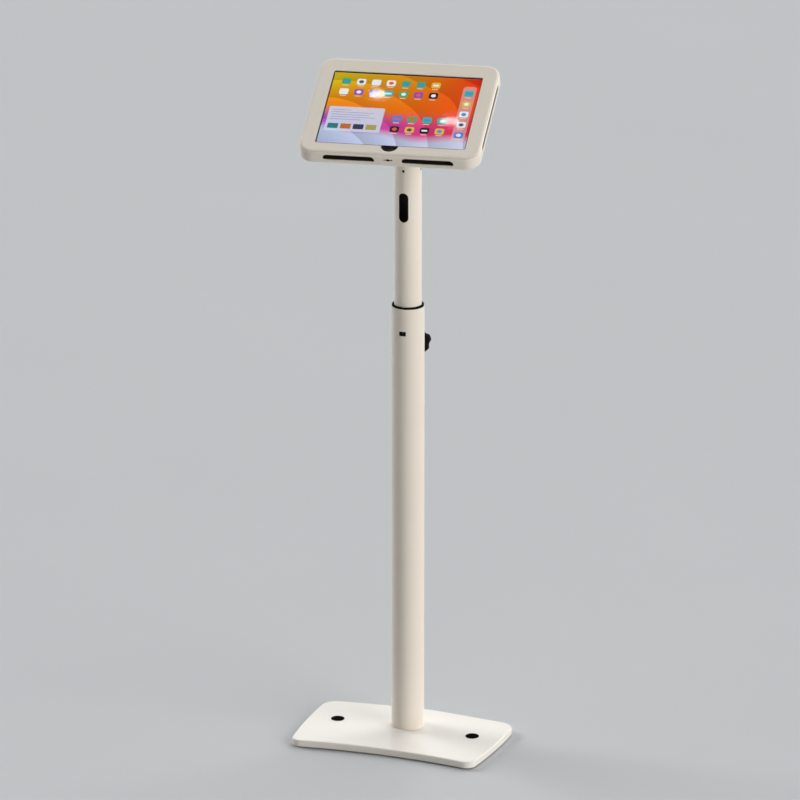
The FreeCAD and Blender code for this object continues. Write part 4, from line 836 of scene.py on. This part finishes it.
def pale_floor():
    """Floor that looks pale and keeps the stand's shadow, yet throws less light up at it."""
    material, tree, shader = new_finish("pale_floor")
    cloud = noise(tree, object_place(tree), 1.2, 4.0)
    pale = blend_colour(tree, cloud, (0.51, 0.52, 0.53), (0.54, 0.55, 0.56))
    set_inputs(tree, shader, colour=blend_colour(tree, seen_rays(tree), (0.44, 0.44, 0.44), pale),
               rough=0.9, gloss=0.1)
    mesh = bpy.data.meshes.new("studio_floor")
    made = bmesh.new()
    bmesh.ops.create_circle(made, cap_ends=True, segments=96, radius=60.0)
    made.to_mesh(mesh)
    made.free()
    mesh.materials.append(material)
    floor = bpy.data.objects.new("studio_floor", mesh)
    bpy.context.scene.collection.objects.link(floor)
    floor.location.z = -0.0002


def pale_surroundings():
    """Sky that shows pale near the horizon, nearly dark overhead, and lights the stand faintly."""
    world = bpy.data.worlds.new("studio")
    world.use_nodes = True
    bpy.context.scene.world = world
    tree = world.node_tree
    lift = split_vector(tree, add(tree, "TexCoord").outputs["Generated"])[2]
    pale = spread(tree, lift, 1.0, 0.03, 0.45, 0.80)
    strength = add(tree, "Mix", {"Factor": seen_rays(tree), 2: 0.07, 3: pale}, data_type="FLOAT").outputs[0]
    background = tree.nodes["Background"]
    feed(tree, background.inputs["Strength"], strength)
    feed(tree, background.inputs["Color"], (1.0, 1.0, 1.0))


COOL_LIGHT = (0.965, 0.985, 1.0)
WARM_LIGHT = (1.0, 0.985, 0.955)


def soft_lamp(name, azimuth, elevation, level, width, tint):
    """Distant soft lamp that glass and gloss don't mirror.

    Azimuth goes from +X towards +Y, and level 1 shows a facing colour about as written.
    """
    lamp = bpy.data.lights.new(name, "SUN")
    lamp.color = tint
    lamp.energy = level * math.pi
    lamp.angle = math.radians(width)
    item = bpy.data.objects.new(name, lamp)
    item.visible_glossy = False
    item.visible_transmission = False
    bpy.context.scene.collection.objects.link(item)
    heading, rise = math.radians(azimuth), math.radians(elevation)
    towards = Vector((math.cos(heading) * math.cos(rise), math.sin(heading) * math.cos(rise), math.sin(rise)))
    item.rotation_euler = towards.to_track_quat("Z", "Y").to_euler()
    item.location = towards * 6


CAMERA_PLACE = Vector((4.7204, -12.8707, 5.2285))
CAMERA_RIGHT = Vector((0.9385, 0.3453, 0.0))
CAMERA_UP = Vector((-0.1096, 0.2978, 0.9483))
CAMERA_BACK = CAMERA_RIGHT.cross(CAMERA_UP)


def set_camera():
    camera = bpy.data.cameras.new("camera")
    camera.lens = 360
    camera.sensor_width = 36
    camera.clip_end = 200
    item = bpy.data.objects.new("camera", camera)
    bpy.context.scene.collection.objects.link(item)
    axes = Matrix((CAMERA_RIGHT, CAMERA_UP, CAMERA_BACK)).transposed()
    item.matrix_world = Matrix.Translation(CAMERA_PLACE) @ axes.to_4x4()
    bpy.context.scene.camera = item


WINDOW_LAMP_DISTANCE = 1.0
WINDOW_LAMP_SIZE = (30, 13)


def window_lamp(name, across, up, power):
    """Small oval lamp placed where the screen glass mirrors it to the camera, upright in that picture."""
    spot = head_frame @ (Vector((across, up, GLASS_FRONT)) * MM)
    normal = (head_frame.to_3x3() @ Vector((0, 0, 1))).normalized()

    def mirrored(vector):
        return vector - 2 * vector.dot(normal) * normal

    lamp = bpy.data.lights.new(name, "AREA")
    lamp.shape = "ELLIPSE"
    lamp.size = WINDOW_LAMP_SIZE[0] * MM
    lamp.size_y = WINDOW_LAMP_SIZE[1] * MM
    lamp.energy = power
    item = bpy.data.objects.new(name, lamp)
    bpy.context.scene.collection.objects.link(item)
    item.visible_camera = False
    axes = Matrix((mirrored(CAMERA_RIGHT), mirrored(CAMERA_UP), -mirrored(CAMERA_BACK))).transposed()
    place = spot + mirrored((spot - CAMERA_PLACE).normalized()) * WINDOW_LAMP_DISTANCE
    item.matrix_world = Matrix.Translation(place) @ axes.to_4x4()


set_camera()
pale_floor()
pale_surroundings()
soft_lamp("back_lamp", 80, 30, 0.78, 60, COOL_LIGHT)
soft_lamp("left_lamp", 166, 27, 0.70, 30, COOL_LIGHT)
soft_lamp("right_lamp", 342, 14, 0.93, 52, WARM_LIGHT)
window_lamp("left_window_lamp", -47.4, 29.7, 0.0085)
window_lamp("right_window_lamp", 95.3, -34.6, 0.0062)

bpy.context.scene.view_settings.view_transform = "Standard"
